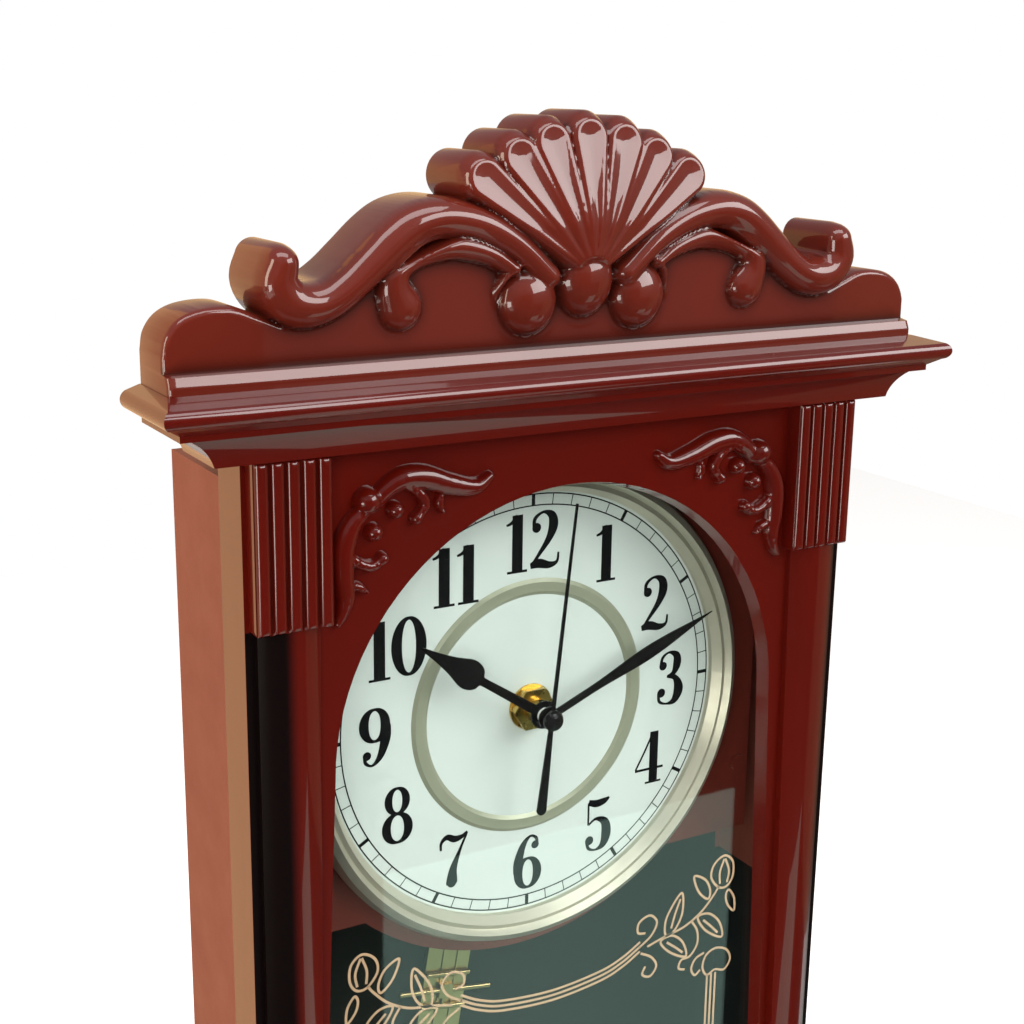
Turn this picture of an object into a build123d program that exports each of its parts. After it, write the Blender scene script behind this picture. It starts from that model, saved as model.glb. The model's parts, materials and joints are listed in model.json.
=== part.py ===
from build123d import *
import os
from math import cos, pi, radians, sin

# Pendulum wall clock in a moulded case. Millimetres, +Z up, front towards -Y.
# The origin is the middle of the footprint, on the surface that the base stands on.

# Whole clock
overall_depth = 73.5           # cornice nose to wall
dial_height = 325.0            # dial centre above the base
running_clearance = 0.05       # radial, shaft in bore
fit_clearance = 0.1            # between pieces that slide together
travel_clearance = 0.8         # between moving pieces and what stands still

# Front frame with its arched opening
frame_half_width = 104.0
frame_depth = 16.5
frame_skin = 3.0
frame_wall = 2.5
opening_margin = 26.0          # frame's side beyond the arch
opening_draft = 1.4            # narrowing of the opening towards the back
opening_lip = 4.6              # depth of the rim round the opening
opening_middle_spread = 4.4    # wider than the arch at half height
opening_middle_drop = 125.0
opening_low_spread = 6.0       # wider than the arch at its foot
opening_drop = 245.0           # dial centre to the foot of the opening

# Cornice, base and the blocks and columns between them
cornice_rise = 96.0            # dial centre to the cornice's lower face
cornice_height = 19.0
cornice_shares = {"cove": 0.46, "step": 0.55, "nose": 0.66, "slope": 0.93}  # of its height
cornice_cove_bow = 0.62        # share of the cove's rise where it is drawn through
cornice_nose_low = 2.2         # nose's lower and upper ends behind its front
cornice_nose_high = 1.6
cornice_front = {"fascia": 7.4, "cove": 10.6, "step": 13.4, "nose": 18.8, "seat": 6.0}
cornice_side = {"fascia": 9.5, "cove": 18.2, "step": 20.4, "nose": 26.0, "seat": 20.6}
base_height = 25.0
base_shares = {"plinth": 0.4, "shoulder": 0.56}  # of its height
base_shoulder_bow = 0.8
base_cove_bow = 0.7
base_front = {"fascia": 7.4, "cove": 11.0, "nose": 15.0}
base_side = {"fascia": 9.5, "cove": 17.0, "nose": 22.0}
block_margin = 1.4             # block inside the frame's side
block_width = 22.6
block_height = 48.0
block_reach = 6.7
reed_count = 5
reed_groove = 1.1
reed_groove_depth = 0.9
column_margin = 3.0            # column inside the frame's side
column_width = 18.4            # at its top
column_taper = 4.4             # narrower at its foot
column_reach = 5.0
column_shoulder = 1.6

# Crest above the cornice; heights are above the cornice
crest_overhang = 20.2          # beyond the frame's sides
crest_reach = 1.5
crest_wall = 3.0
crest_foot_height = 5.0
board_bevel = 1.25
crest_foot_reach = 5.5
shoulder_start = 9.0
shoulder_hump = (105.4, 21.1)
shoulder_bend_across = 0.24    # shares of the way from the board's side to the hump
shoulder_bend_up = 0.6
scroll_path = [(91.6, 32.5), (92.9, 26.0), (88.6, 21.4), (82.0, 20.8), (73.5, 25.3),
               (61.5, 35.6), (51.0, 41.4), (40.0, 42.0), (26.5, 36.6), (13.5, 26.0)]
scroll_width = 9.2
scroll_end_radius = 5.2
scroll_reach = 6.5
curl_path = [(58.7, 19.0), (60.4, 26.0), (56.5, 32.6), (49.0, 36.6), (37.5, 37.0)]
curl_width = 8.6
curl_end_radius = 6.6
curl_reach = 5.5
carving_bevel = 2.4
egg_middle_rise = 23.7
egg_side_x = 18.4
egg_side_rise = 18.4
egg_width = 18.6
egg_height_middle = 22.0
egg_height_side = 20.0
egg_reach = 8.0
egg_steps = [(1.0, 0.0), (0.86, 0.55), (0.56, 0.88), (0.2, 1.0)]  # shares of size and of reach
shell_centre_height = 25.0
shell_angles = [0.0, 18.0, 34.4, 51.0]
shell_lengths = [45.2, 45.6, 46.8, 50.4]
shell_tip_radius = 7.2
shell_root_radius = 3.0
shell_root_distance = 6.0
shell_reach = 5.0
shell_fall = 0.6               # each lobe stands this much lower than its inner neighbour
shell_pocket_radius = 24.0
shell_pocket_rise = 28.5

# Scroll ornament in the two upper corners of the frame
# x is measured inwards from the block, z upwards from the dial's centre
ornament_stems = [
    [(50.4, 83.0), (45.5, 80.8), (37.5, 83.2)],
    [(37.5, 83.2), (25.0, 86.4), (12.2, 80.8)],
    [(12.2, 80.8), (5.0, 70.5), (5.4, 58.0)],
    [(5.4, 58.0), (5.0, 52.0), (3.2, 46.9)],
    [(21.0, 85.2), (29.2, 80.4), (26.9, 74.2)],
    [(5.0, 68.5), (10.4, 62.8), (16.7, 63.8)],
]
ornament_beads = [(12.2, 80.8, 4.0), (26.9, 74.2, 2.6), (16.7, 63.8, 2.6)]
ornament_width = 3.4
ornament_reach = 2.6
ornament_bead_rise = 1.2       # beads stand this much higher
ornament_bead_top = 0.55       # share of the bead's radius at its top

# Rear case
case_drop = 8.0                # top of the rear case below the cornice
case_wall = 2.5
access_half_width = 31.0
access_half_height = 34.0
keyhole_rise = 70.0
keyhole_radius = 4.5
keyhole_slot_radius = 2.2
keyhole_slot_length = 9.0
case_screw_radius = 1.5
case_screw_head_radius = 3.2
case_screw_head_height = 2.0
case_boss_half = 4.2
case_boss_inset = 6.2          # boss axis inside the case's outer faces
case_screw_grip = 8.0          # length held in the front frame
case_boss_low = 46.0
frame_boss_length = 10.0

# Glass pane over the whole opening, and the clips behind it
pane_thickness = 2.0
pane_overlap = 4.0             # glass beyond the opening's edge
rim_margin = 0.5               # opening's rim beyond the glass
clip_reach = 7.0               # from its peg over the glass
clip_width = 9.0
clip_thickness = 1.2
clip_post_half = 2.8
clip_peg_half = 1.2
clip_peg_length = 3.0
clip_low_rise = 30.0           # lowest clips above the opening's foot
clip_arch_angle = 45.0

# Dial, its ring, bezel and carrier plate
dial_depth = 24.0
dial_thickness = 0.5
dial_radius = 72.0
bezel_outer = 79.5
bezel_inner = 70.6
bezel_height = 6.4             # bezel's nose in front of the dial
bezel_ridge = 74.2             # radius of the groove between the two ridges
bezel_lip = 1.9                # height of the lip over the dial's edge
bezel_groove = 0.6
bezel_bevel = 1.5
ring_outer = 42.4
ring_inner = 37.0
ring_height = 0.8
ring_bevel = 1.2
carrier_depth = 27.0           # plate's front behind the frame's face
carrier_margin = 12.0          # plate inside the frame's sides
carrier_thickness = 2.0
carrier_top_rise = 82.0
carrier_low_drop = 63.0
carrier_disc = 85.0
carrier_pad_radius = 40.0
carrier_screw_radius = 1.4
carrier_screw_head = 2.8
carrier_screw_inset = 5.0
carrier_screw_z = (72.0, -38.0)
carrier_screw_grip = 7.0
carrier_boss_half = 3.5

# Clock movement
movement_half = 28.0
movement_depth = 16.0
movement_wall = 1.5
movement_split = 7.0           # depth of the front half
gasket_thickness = 1.0
gasket_radius = 9.0
bush_radius = 4.0
washer_radius = 7.6
washer_thickness = 0.8
nut_across_flats = 13.0
nut_height = 2.8
bush_stand = 5.4               # bush beyond the dial's face
hour_pipe_radius = 2.5
minute_pipe_radius = 1.6
second_shaft_radius = 0.6
arbor_radius = 0.6
pivot_radius = 0.4
pivot_length = 0.9
wheel_thickness = 0.8
pinion_length = 1.3
wheel_gap = 0.7                # axial gap between neighbouring layers

# Wheel train: leaves and teeth of each meshing pair, and the distance between their arbors
train_distance = 9.0           # hand axis to the third arbor
motion_distance = 10.0         # hand axis to the setting arbor
drive_distance = 8.4           # hand axis to the intermediate arbor
rotor_distance = 6.0           # intermediate arbor to the rotor
second_to_third_counts = (6, 45)
third_to_minute_counts = (6, 48)
minute_to_setting_counts = (8, 24)
setting_to_hour_counts = (8, 32)
rotor_to_intermediate_counts = (8, 40)
intermediate_to_second_counts = (8, 48)
pinion_form = {"tip": 0.75, "root": 0.95, "tip_share": 0.14, "root_share": 0.42}  # in modules and in pitches
wheel_form = {"tip": 0.6, "root": 1.1, "tip_share": 0.2, "root_share": 0.52}
third_angle = 0.0
setting_angle = 180.0
intermediate_angle = 90.0
rotor_angle = 45.0
rotor_radius = 2.5
rotor_length = 3.2
coil_radius = 4.2
coil_length = 26.0
coil_rise = 21.0
coil_core_half = 17.0
stator_thickness = 1.0
board_size = (7.0, 1.2, 20.0)
board_x = -22.6
battery_radius = 7.0
battery_length = 49.0
battery_drop = 19.0
battery_nub_radius = 2.6
battery_nub_length = 1.4
contact_thickness = 0.5
knob_radius = 4.4
knob_height = 2.6
knob_side_count = 12

# Hands, as set: angles clockwise from twelve
hour_hand_angle = 304.0
minute_hand_angle = 67.6
second_hand_angle = 6.2
hour_hand_depth = 8.2          # hand's rear face in front of the dial
minute_hand_depth = 11.2
second_hand_depth = 13.2
hand_thickness = 0.6
hour_hand_length = 52.0
hour_leaf_start = 21.1
hour_leaf_middle = 34.0
hour_leaf_half = 4.3
hour_stem_half = 1.3
hour_hub_radius = 4.6
minute_hand_length = 67.3
minute_leaf_start = 16.0
minute_leaf_middle = 40.0
minute_leaf_half = 2.3
minute_stem_half = 1.2
minute_hub_radius = 3.6
second_hand_length = 69.2
second_tail_length = 30.0
second_tip_half = 0.35
second_tail_half = 1.7
second_hub_radius = 2.9
cap_radius = 3.4
cap_height = 2.6
cap_steps = [(1.0, 0.4), (0.82, 0.76), (0.4, 1.0)]  # shares of radius and of height

# Pendulum behind the movement
pendulum_depth = 46.8          # rod's front face behind the frame's face
pendulum_pivot_rise = 4.0      # above the dial centre
pendulum_rest_angle = 9.5      # caught in mid swing, towards -X
pendulum_rod_width = 16.5
pendulum_rod_thickness = 1.6
pendulum_rod_top = 36.0        # below the pivot
pendulum_groove = 1.2
pendulum_groove_depth = 0.4
pendulum_length = 198.0        # pivot to the middle of the bob
pendulum_bob_radius = 30.0
pendulum_bob_height = 4.0
pendulum_bob_steps = [(1.0, 0.2), (0.8, 0.62), (0.45, 0.9), (0.1, 1.0)]
pendulum_bar_drop = 113.0      # pivot to the long crossbar
pendulum_bar_length = 35.0
pendulum_bar_radius = 0.9
pendulum_short_bar_length = 16.5
pendulum_bar_spacing = 6.0
pendulum_hub_side = 5.0
lever_width = 6.0
lever_thickness = 1.6
lever_length = 42.0
lever_eye_radius = 4.0
lever_pin_radius = 1.2
lever_pin_head = 2.2
magnet_radius = 3.0
magnet_drop = 24.0
magnet_thickness = 1.0

# Places worked out from the sizes above
wall_y = overall_depth / 2
front_y = -overall_depth / 2 + cornice_front["nose"]
seam_y = front_y + frame_depth
cornice_z = dial_height + cornice_rise
crest_z = cornice_z + cornice_height
block_outer = frame_half_width - block_margin
block_inner = block_outer - block_width
column_outer = frame_half_width - column_margin
column_inner = column_outer - column_width
crest_half_width = frame_half_width + crest_overhang
opening_radius = frame_half_width - opening_margin
opening_middle_half = opening_radius + opening_middle_spread
opening_low_half = opening_radius + opening_low_spread
carrier_half_width = frame_half_width - carrier_margin
carrier_screw_x = carrier_half_width - carrier_screw_inset
case_top_z = cornice_z - case_drop
dial_y = front_y + dial_depth
dial_back_y = dial_y + dial_thickness
pane_y = front_y + opening_lip
pane_back_y = pane_y + pane_thickness
carrier_y = front_y + carrier_depth
carrier_back_y = carrier_y + carrier_thickness
movement_y = carrier_back_y + gasket_thickness
movement_back_y = movement_y + movement_depth
split_y = movement_y + movement_split
inside_y = movement_y + movement_wall
inside_back_y = movement_back_y - movement_wall
pendulum_y = front_y + pendulum_depth
pendulum_back_y = pendulum_y + pendulum_rod_thickness
pivot_z = dial_height + pendulum_pivot_rise
layer = wheel_thickness + wheel_gap
hour_wheel_y = inside_y + wheel_gap
setting_wheel_y = hour_wheel_y + layer
minute_wheel_y = setting_wheel_y + layer
third_wheel_y = minute_wheel_y + layer + wheel_gap
second_wheel_y = third_wheel_y + layer + wheel_gap
intermediate_wheel_y = second_wheel_y + layer + wheel_gap
stator_y = (inside_y + inside_back_y - stator_thickness) / 2
intermediate_front_y = stator_y + stator_thickness + fit_clearance
magnet_y = second_wheel_y - wheel_gap - rotor_length


def post(half, y0, y1):
    """Square post along Y through the origin."""
    return brick(-half, half, y0, y1, -half, half)


def slab(sketch, y_front, y_back):
    """A sketch drawn in X and Z, made solid between two depths."""
    return extrude(Plane.XZ.offset(-y_back) * sketch, amount=y_back - y_front)


def rod(radius, y_front, y_back, x=0.0, z=dial_height):
    """A round bar along Y."""
    return slab(Pos(x, z) * Circle(radius), y_front, y_back)


def polar(distance, angle):
    """Place at a distance and angle from the dial's centre."""
    return distance * cos(radians(angle)), dial_height + distance * sin(radians(angle))


def turned(points):
    """A ring or disc about the dial's axis, from a profile of radius and depth."""
    profile = make_face(Polyline(*points, close=True))
    return Pos(0, 0, dial_height) * revolve(Plane.XY * profile, Axis.Y)


def brick(x0, x1, y0, y1, z0, z1):
    """A box between two corners."""
    return Pos((x0 + x1) / 2, (y0 + y1) / 2, (z0 + z1) / 2) * Box(x1 - x0, y1 - y0, z1 - z0)


def both_sides(solid):
    """A solid and its mirror image across the middle of the clock."""
    return solid, mirror(solid, Plane.YZ)


def write(name, solid):
    export_step(solid, f"parts/{name}.step")


def group(solids):
    return Compound(children=list(solids))


def front_edges(solid, y):
    """The edges of a solid that lie in the plane at depth y."""
    return [e for e in solid.edges() if abs(e.bounding_box().min.Y - y) < 1e-4
            and abs(e.bounding_box().max.Y - y) < 1e-4]


# Case front

def opening_outline(inset):
    """Arch round the dial with sides that spread a little towards the foot."""
    top = opening_radius - inset
    middle = opening_middle_half - inset
    low = opening_low_half - inset
    foot_z = dial_height - opening_drop + inset
    side_z = dial_height - opening_middle_drop
    arch = ThreePointArc((-top, dial_height), (0, dial_height + top), (top, dial_height))
    right = ThreePointArc((top, dial_height), (middle, side_z), (low, foot_z))
    foot = Line((low, foot_z), (-low, foot_z))
    left = ThreePointArc((-low, foot_z), (-middle, side_z), (-top, dial_height))
    return make_face([arch, right, foot, left])


def case_boss_places():
    x = frame_half_width - case_boss_inset
    return [(side * x, z) for side in (-1, 1) for z in (case_boss_low, case_top_z - case_boss_inset)]


def clip_places():
    """Posts of the clips, two on each side and one on each side of the arch, with the way they face."""
    beyond = pane_overlap + clip_post_half + travel_clearance
    foot_z = dial_height - opening_drop
    places = []
    for z in (foot_z + clip_low_rise, dial_height - opening_middle_drop):
        places += [(opening_low_half + beyond, z, 0.0), (-opening_low_half - beyond, z, 180.0)]
    for angle in (clip_arch_angle, 180.0 - clip_arch_angle):
        x, z = polar(opening_radius + beyond, angle)
        places.append((x, z, angle))
    return places


def front_frame():
    """Front plate with side walls, a rim for the glass, and posts for the clips and the case's screws."""
    width = frame_half_width
    skin_y = front_y + frame_skin
    frame = brick(-width, width, front_y, seam_y, base_height, cornice_z)
    inner = width - frame_wall
    frame -= brick(-inner, inner, skin_y, seam_y, base_height + frame_wall, cornice_z - frame_wall)
    frame += slab(opening_outline(-pane_overlap - rim_margin), skin_y, pane_y)
    mouth = Plane.XZ.offset(-front_y) * opening_outline(0)
    throat = Plane.XZ.offset(-pane_y) * opening_outline(opening_draft)
    frame -= loft([mouth.face(), throat.face()], ruled=True)
    for x, z, angle in clip_places():
        frame += Pos(x, 0, z) * Rot(0, -angle, 0) * post(clip_post_half, skin_y, pane_back_y)
        hole_y = pane_back_y - clip_peg_length - fit_clearance
        frame -= Pos(x, 0, z) * Rot(0, -angle, 0) * post(clip_peg_half + fit_clearance, hole_y, pane_back_y)
    for x, z in case_boss_places():
        frame += Pos(x, 0, z) * post(case_boss_half, skin_y, seam_y)
        frame -= rod(case_screw_radius, seam_y - frame_boss_length, seam_y, x, z)
    return frame


def moulding_profile(reach, height):
    """Cornice section from below: fascia, cove, step, rounded nose and sloping top."""
    cove_z, step_z, nose_z, slope_z = (height * share for share in cornice_shares.values())
    bow = cornice_cove_bow
    cove_middle = (reach["fascia"] * bow + reach["cove"] * (1 - bow), cove_z * bow)
    nose_low = (reach["nose"] - cornice_nose_low, nose_z)
    nose_high = (reach["nose"] - cornice_nose_high, slope_z)
    lines = [
        Line((0, 0), (reach["fascia"], 0)),
        ThreePointArc((reach["fascia"], 0), cove_middle, (reach["cove"], cove_z)),
        Polyline((reach["cove"], cove_z), (reach["step"], cove_z), (reach["step"], step_z), nose_low),
        ThreePointArc(nose_low, (reach["nose"], (nose_z + slope_z) / 2), nose_high),
        Polyline(nose_high, (reach["seat"], height), (0, height), (0, 0)),
    ]
    return make_face([edge for line in lines for edge in line.edges()])


def base_profile(reach, height):
    """Base section from below: plinth, rounded shoulder and cove up to the frame."""
    plinth_z, shoulder_z = (height * share for share in base_shares.values())
    bow = base_cove_bow
    shoulder_middle = (reach["nose"] - base_shoulder_bow, (plinth_z + shoulder_z) / 2)
    cove_middle = (reach["fascia"] * bow + reach["cove"] * (1 - bow), (shoulder_z + height) / 2)
    lines = [
        Polyline((0, height), (0, 0), (reach["nose"], 0), (reach["nose"], plinth_z)),
        ThreePointArc((reach["nose"], plinth_z), shoulder_middle, (reach["cove"], shoulder_z)),
        ThreePointArc((reach["cove"], shoulder_z), cove_middle, (reach["fascia"], height)),
        Line((reach["fascia"], height), (0, height)),
    ]
    return make_face([edge for line in lines for edge in line.edges()])


def wrapped_moulding(profile, front_reach, side_reach, height, foot_z):
    """A moulding round the front and both sides, mitred, with its own reach on each."""
    front = profile(front_reach, height)
    along_x = Plane((0, front_y, foot_z), x_dir=(0, -1, 0), z_dir=(-1, 0, 0))
    half = frame_half_width + max(side_reach.values())
    front_bar = extrude(along_x * front, amount=half, both=True)
    front_bar += brick(-half, half, front_y, seam_y, foot_z, foot_z + height)
    side = profile(side_reach, height)
    along_y = Plane((frame_half_width, seam_y, foot_z), x_dir=(1, 0, 0), z_dir=(0, -1, 0))
    deep = frame_depth + max(front_reach.values())
    right = extrude(along_y * side, amount=deep)
    side_bar = right + mirror(right, Plane.YZ)
    side_bar += brick(-frame_half_width, frame_half_width, seam_y - deep, seam_y, foot_z, foot_z + height)
    return front_bar & side_bar


def hollowed_from_back(solid, half, z0, z1, skin):
    """A moulding opened from behind, as thin-walled mouldings are."""
    return solid - brick(-half, half, front_y + skin, seam_y, z0, z1)


def cornice():
    solid = wrapped_moulding(moulding_profile, cornice_front, cornice_side, cornice_height, cornice_z)
    half = frame_half_width - frame_wall
    return hollowed_from_back(solid, half, cornice_z + frame_wall, crest_z - frame_wall, frame_skin)


def base_moulding():
    solid = wrapped_moulding(base_profile, base_front, base_side, base_height, 0)
    half = frame_half_width - frame_wall
    return hollowed_from_back(solid, half, frame_wall, base_height - frame_wall, frame_skin)


def reeded_block(z0):
    """Block of upright reeds at the end of the right-hand column."""
    block = brick(block_inner, block_outer, front_y - block_reach, front_y, z0, z0 + block_height)
    upright = [e for e in block.edges().filter_by(Axis.Z) if e.center().Y < front_y - block_reach / 2]
    block = fillet(upright, reed_groove_depth)
    pitch = (block_outer - block_inner) / reed_count
    for i in range(1, reed_count):
        x0 = block_inner + i * pitch - reed_groove / 2
        y = front_y - block_reach
        block -= brick(x0, x0 + reed_groove, y, y + reed_groove_depth, z0, z0 + block_height)
    return block


def column():
    """Bowed face between two shoulders, drawn narrower towards its foot."""
    foot_z = base_height + block_height
    top_z = cornice_z - block_height
    low_y = front_y - column_shoulder
    middle = ((column_inner + column_outer) / 2, front_y - column_reach)
    lines = [
        Line((column_inner, front_y), (column_inner, low_y)),
        ThreePointArc((column_inner, low_y), middle, (column_outer, low_y)),
        Line((column_outer, low_y), (column_outer, front_y)),
        Line((column_outer, front_y), (column_inner, front_y)),
    ]
    bar = extrude(Pos(0, 0, foot_z) * make_face(lines), amount=top_z - foot_z, dir=(0, 0, 1))
    taper = Polyline((column_inner, foot_z), (column_inner + column_taper, foot_z), (column_inner, top_z),
                     close=True)
    return bar - slab(make_face(taper), front_y - column_reach, front_y)


# Crest

def relief(sketch, reach, bevel):
    """A carved form that stands from the back of the crest to its own reach, with a bevelled front edge."""
    y = front_y - reach
    solid = slab(sketch, y, seam_y)
    return chamfer(front_edges(solid, y), bevel)


def raised(points, side=1):
    """Points of the crest, on the right side or mirrored to the left."""
    return [(side * x, crest_z + z) for x, z in points]


def band(points, width, reach, end_radius):
    """Bevelled band swept along a smooth path, with a round boss at its start."""
    path = Plane.XZ.offset(-front_y) * Spline(*points)
    half = width / 2
    flat = half - carving_bevel
    low = reach - carving_bevel
    section = Polyline((-frame_depth, -half), (low, -half), (reach, -flat), (reach, flat), (low, half),
                       (-frame_depth, half), close=True)
    start = Plane(origin=path @ 0, x_dir=(0, -1, 0), z_dir=path % 0)
    boss = relief(Pos(*points[0]) * Circle(end_radius), reach, carving_bevel)
    return sweep(start * make_face(section), path=path) + boss


def shell_lobe(angle, length):
    """One lobe of the shell, as the hull of a small root circle and a large tip circle."""
    centre_z = crest_z + shell_centre_height
    circles = []
    for distance, radius in ((shell_root_distance, shell_root_radius),
                             (length - shell_tip_radius, shell_tip_radius)):
        place = Pos(distance * sin(radians(angle)), centre_z + distance * cos(radians(angle)))
        circles += (place * Circle(radius)).edges()
    return make_hull(circles)


def egg(x, z, height):
    """Egg-shaped boss in steps that close towards its top."""
    rings = []
    for size, rise in egg_steps:
        y = front_y - egg_reach * rise
        ring = Pos(x, crest_z + z) * Ellipse(size * egg_width / 2, size * height / 2)
        rings.append((Plane.XZ.offset(-y) * ring).face())
    return loft(rings, ruled=True)


def crest_board():
    """Board behind the carving, with rounded shoulders."""
    hump_x, hump_z = shoulder_hump
    width = crest_half_width
    bend_x = width - (width - hump_x) * shoulder_bend_across
    bend = (bend_x, shoulder_start + (hump_z - shoulder_start) * shoulder_bend_up)
    inside = raised([scroll_path[1], scroll_path[4], scroll_path[6], scroll_path[8]])
    right = raised([(width, 0), (width, shoulder_start), bend, shoulder_hump])
    foot = Line((-width, crest_z), (width, crest_z))
    side = Line(right[0], right[1])
    shoulder = ThreePointArc(right[1], right[2], right[3])
    slope = Polyline(right[3], *inside, (0, inside[-1][1]))
    mirrored = [mirror(curve, Plane.YZ) for curve in (side, shoulder, slope)]
    return make_face([foot, side, shoulder, *slope.edges(), *mirrored[:2], *mirrored[2].edges()])


def crest():
    """Board, foot bead, shell, scrolls and eggs as one moulding, hollow behind."""
    board = relief(crest_board(), crest_reach, board_bevel)
    carving = [crest_foot(), egg(0, egg_middle_rise, egg_height_middle)]
    for index, angle in enumerate(shell_angles):
        reach = shell_reach - index * shell_fall
        for turn in sorted({angle, -angle}):
            carving.append(slab(shell_lobe(turn, shell_lengths[index]), front_y - reach, seam_y))
    for side in (-1, 1):
        carving.append(band(raised(scroll_path, side), scroll_width, scroll_reach, scroll_end_radius))
        carving.append(band(raised(curl_path, side), curl_width, curl_reach, curl_end_radius))
        carving.append(egg(side * egg_side_x, egg_side_rise, egg_height_side))
    return board.fuse(*carving) - crest_hollow()


def crest_foot():
    """Rounded bead along the foot of the crest."""
    y = front_y - crest_foot_reach
    bead = brick(-crest_half_width, crest_half_width, y, seam_y, crest_z, crest_z + crest_foot_height)
    top = max(front_edges(bead, y), key=lambda edge: edge.center().Z)
    return fillet(top, crest_foot_reach - crest_reach)


def crest_hollow():
    """Space behind the crest: a long pocket behind the board and a round one behind the shell."""
    half = shoulder_hump[0] - crest_wall
    pocket = brick(-half, half, front_y + crest_wall, seam_y,
                   crest_z + crest_wall, crest_z + shoulder_hump[1] - crest_wall)
    return pocket + rod(shell_pocket_radius, front_y + crest_wall, seam_y, 0, crest_z + shell_pocket_rise)


def spandrel_ornament(side):
    """Scrolled corner ornament: arms in arcs, with curls that end in beads."""
    y = front_y - ornament_reach
    outline = Sketch()
    for stem in ornament_stems:
        points = [(side * (block_inner - x), dial_height + z) for x, z in stem]
        outline += trace(ThreePointArc(*points), ornament_width)
        outline += Pos(*points[-1]) * Circle(ornament_width / 2)
    solid = slab(outline, y, front_y)
    height = ornament_reach + ornament_bead_rise
    for x, z, radius in ornament_beads:
        bead = Rot(90, 0, 0) * Cone(radius, radius * ornament_bead_top, height)
        solid += Pos(side * (block_inner - x), front_y - height / 2, dial_height + z) * bead
    return solid


# Rear case, pane and screws

def case_body():
    width = frame_half_width
    inner = width - case_wall
    case = brick(-width, width, seam_y, wall_y, 0, case_top_z)
    case -= brick(-inner, inner, seam_y, wall_y - case_wall, case_wall, case_top_z - case_wall)
    floor_y = wall_y - case_wall
    for x, z in carrier_screw_places():
        case += Pos(x, 0, z) * post(carrier_boss_half, carrier_back_y, floor_y)
    case -= brick(-access_half_width, access_half_width, wall_y - case_wall, wall_y,
                  dial_height - access_half_height, dial_height + access_half_height)
    hole_z = dial_height + keyhole_rise
    case -= rod(keyhole_radius, wall_y - case_wall, wall_y, 0, hole_z)
    slot_top = hole_z + keyhole_slot_length
    case -= brick(-keyhole_slot_radius, keyhole_slot_radius, wall_y - case_wall, wall_y, hole_z, slot_top)
    case -= rod(keyhole_slot_radius, wall_y - case_wall, wall_y, 0, slot_top)
    for x, z in case_boss_places():
        case += Pos(x, 0, z) * post(case_boss_half, seam_y, wall_y)
        case -= rod(case_screw_radius + fit_clearance, seam_y, wall_y, x, z)
        case -= rod(case_screw_head_radius + fit_clearance, wall_y - case_screw_head_height - fit_clearance,
                    wall_y, x, z)
    for x, z in carrier_screw_places():
        hole_y = carrier_back_y + carrier_screw_grip + travel_clearance
        case -= rod(carrier_screw_radius, carrier_back_y, hole_y, x, z)
    return case


def carrier_screw_places():
    return [(x, dial_height + z) for x in (-carrier_screw_x, carrier_screw_x) for z in carrier_screw_z]


def glass_pane():
    return slab(opening_outline(-pane_overlap), pane_y, pane_back_y)


def pane_clips():
    """Small plates that reach over the glass, each with a square peg in a post of the frame."""
    back = pane_back_y + clip_thickness
    clip = brick(-clip_reach, clip_post_half, pane_back_y, back, -clip_width / 2, clip_width / 2)
    clip += post(clip_peg_half, pane_back_y - clip_peg_length, pane_back_y)
    return group(Pos(x, 0, z) * Rot(0, -angle, 0) * clip for x, z, angle in clip_places())


def case_screws():
    solids = []
    for x, z in case_boss_places():
        head_y = wall_y - case_screw_head_height
        solids.append(rod(case_screw_head_radius, head_y, wall_y, x, z)
                      + rod(case_screw_radius, seam_y - case_screw_grip, head_y, x, z))
    return group(solids)


def carrier_screws():
    solids = []
    for x, z in carrier_screw_places():
        solids.append(rod(carrier_screw_head, carrier_y - carrier_screw_radius, carrier_y, x, z)
                      + rod(carrier_screw_radius, carrier_y, carrier_back_y + carrier_screw_grip, x, z))
    return group(solids)


# Dial

def dial_carrier():
    """Plate behind the dial; its foot follows the dial's round and then runs level to both sides."""
    top = dial_height + carrier_top_rise
    foot = dial_height - carrier_low_drop
    sheet = Pos(0, (top + foot) / 2) * Rectangle(2 * carrier_half_width, top - foot)
    sheet += (Pos(0, dial_height) * Circle(carrier_disc)) & (Pos(0, dial_height - carrier_disc) * Rectangle(
        2 * carrier_half_width, 2 * carrier_disc))
    plate = slab(sheet, carrier_y, carrier_back_y)
    plate += rod(carrier_pad_radius, dial_back_y, carrier_y)
    plate -= rod(bush_radius + fit_clearance, dial_back_y, carrier_back_y)
    for x, z in carrier_screw_places():
        plate -= rod(carrier_screw_radius + fit_clearance, carrier_y, carrier_back_y, x, z)
    return plate


def dial():
    return rod(dial_radius, dial_y, dial_back_y) - rod(bush_radius + fit_clearance, dial_y, dial_back_y)


def dial_bezel():
    """Ring with two bevelled ridges and a sloping inner lip over the dial's edge."""
    nose_y = dial_y - bezel_height
    ridge_y = nose_y + bezel_bevel
    seat = dial_radius + fit_clearance
    points = [
        (bezel_inner, dial_y), (bezel_inner, dial_y - bezel_lip),
        (bezel_ridge - bezel_bevel, ridge_y), (bezel_ridge, ridge_y + bezel_groove),
        (bezel_ridge + bezel_bevel, nose_y), (bezel_outer - bezel_bevel, ridge_y),
        (bezel_outer, dial_y - bezel_lip), (bezel_outer, dial_back_y), (seat, dial_back_y), (seat, dial_y),
    ]
    return turned(points)


def dial_ring():
    """Raised ring on the dial with bevelled sides."""
    top_y = dial_y - ring_height
    return turned([(ring_inner, dial_y), (ring_inner + ring_bevel, top_y), (ring_outer - ring_bevel, top_y),
                   (ring_outer, dial_y)])


# Movement

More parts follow.
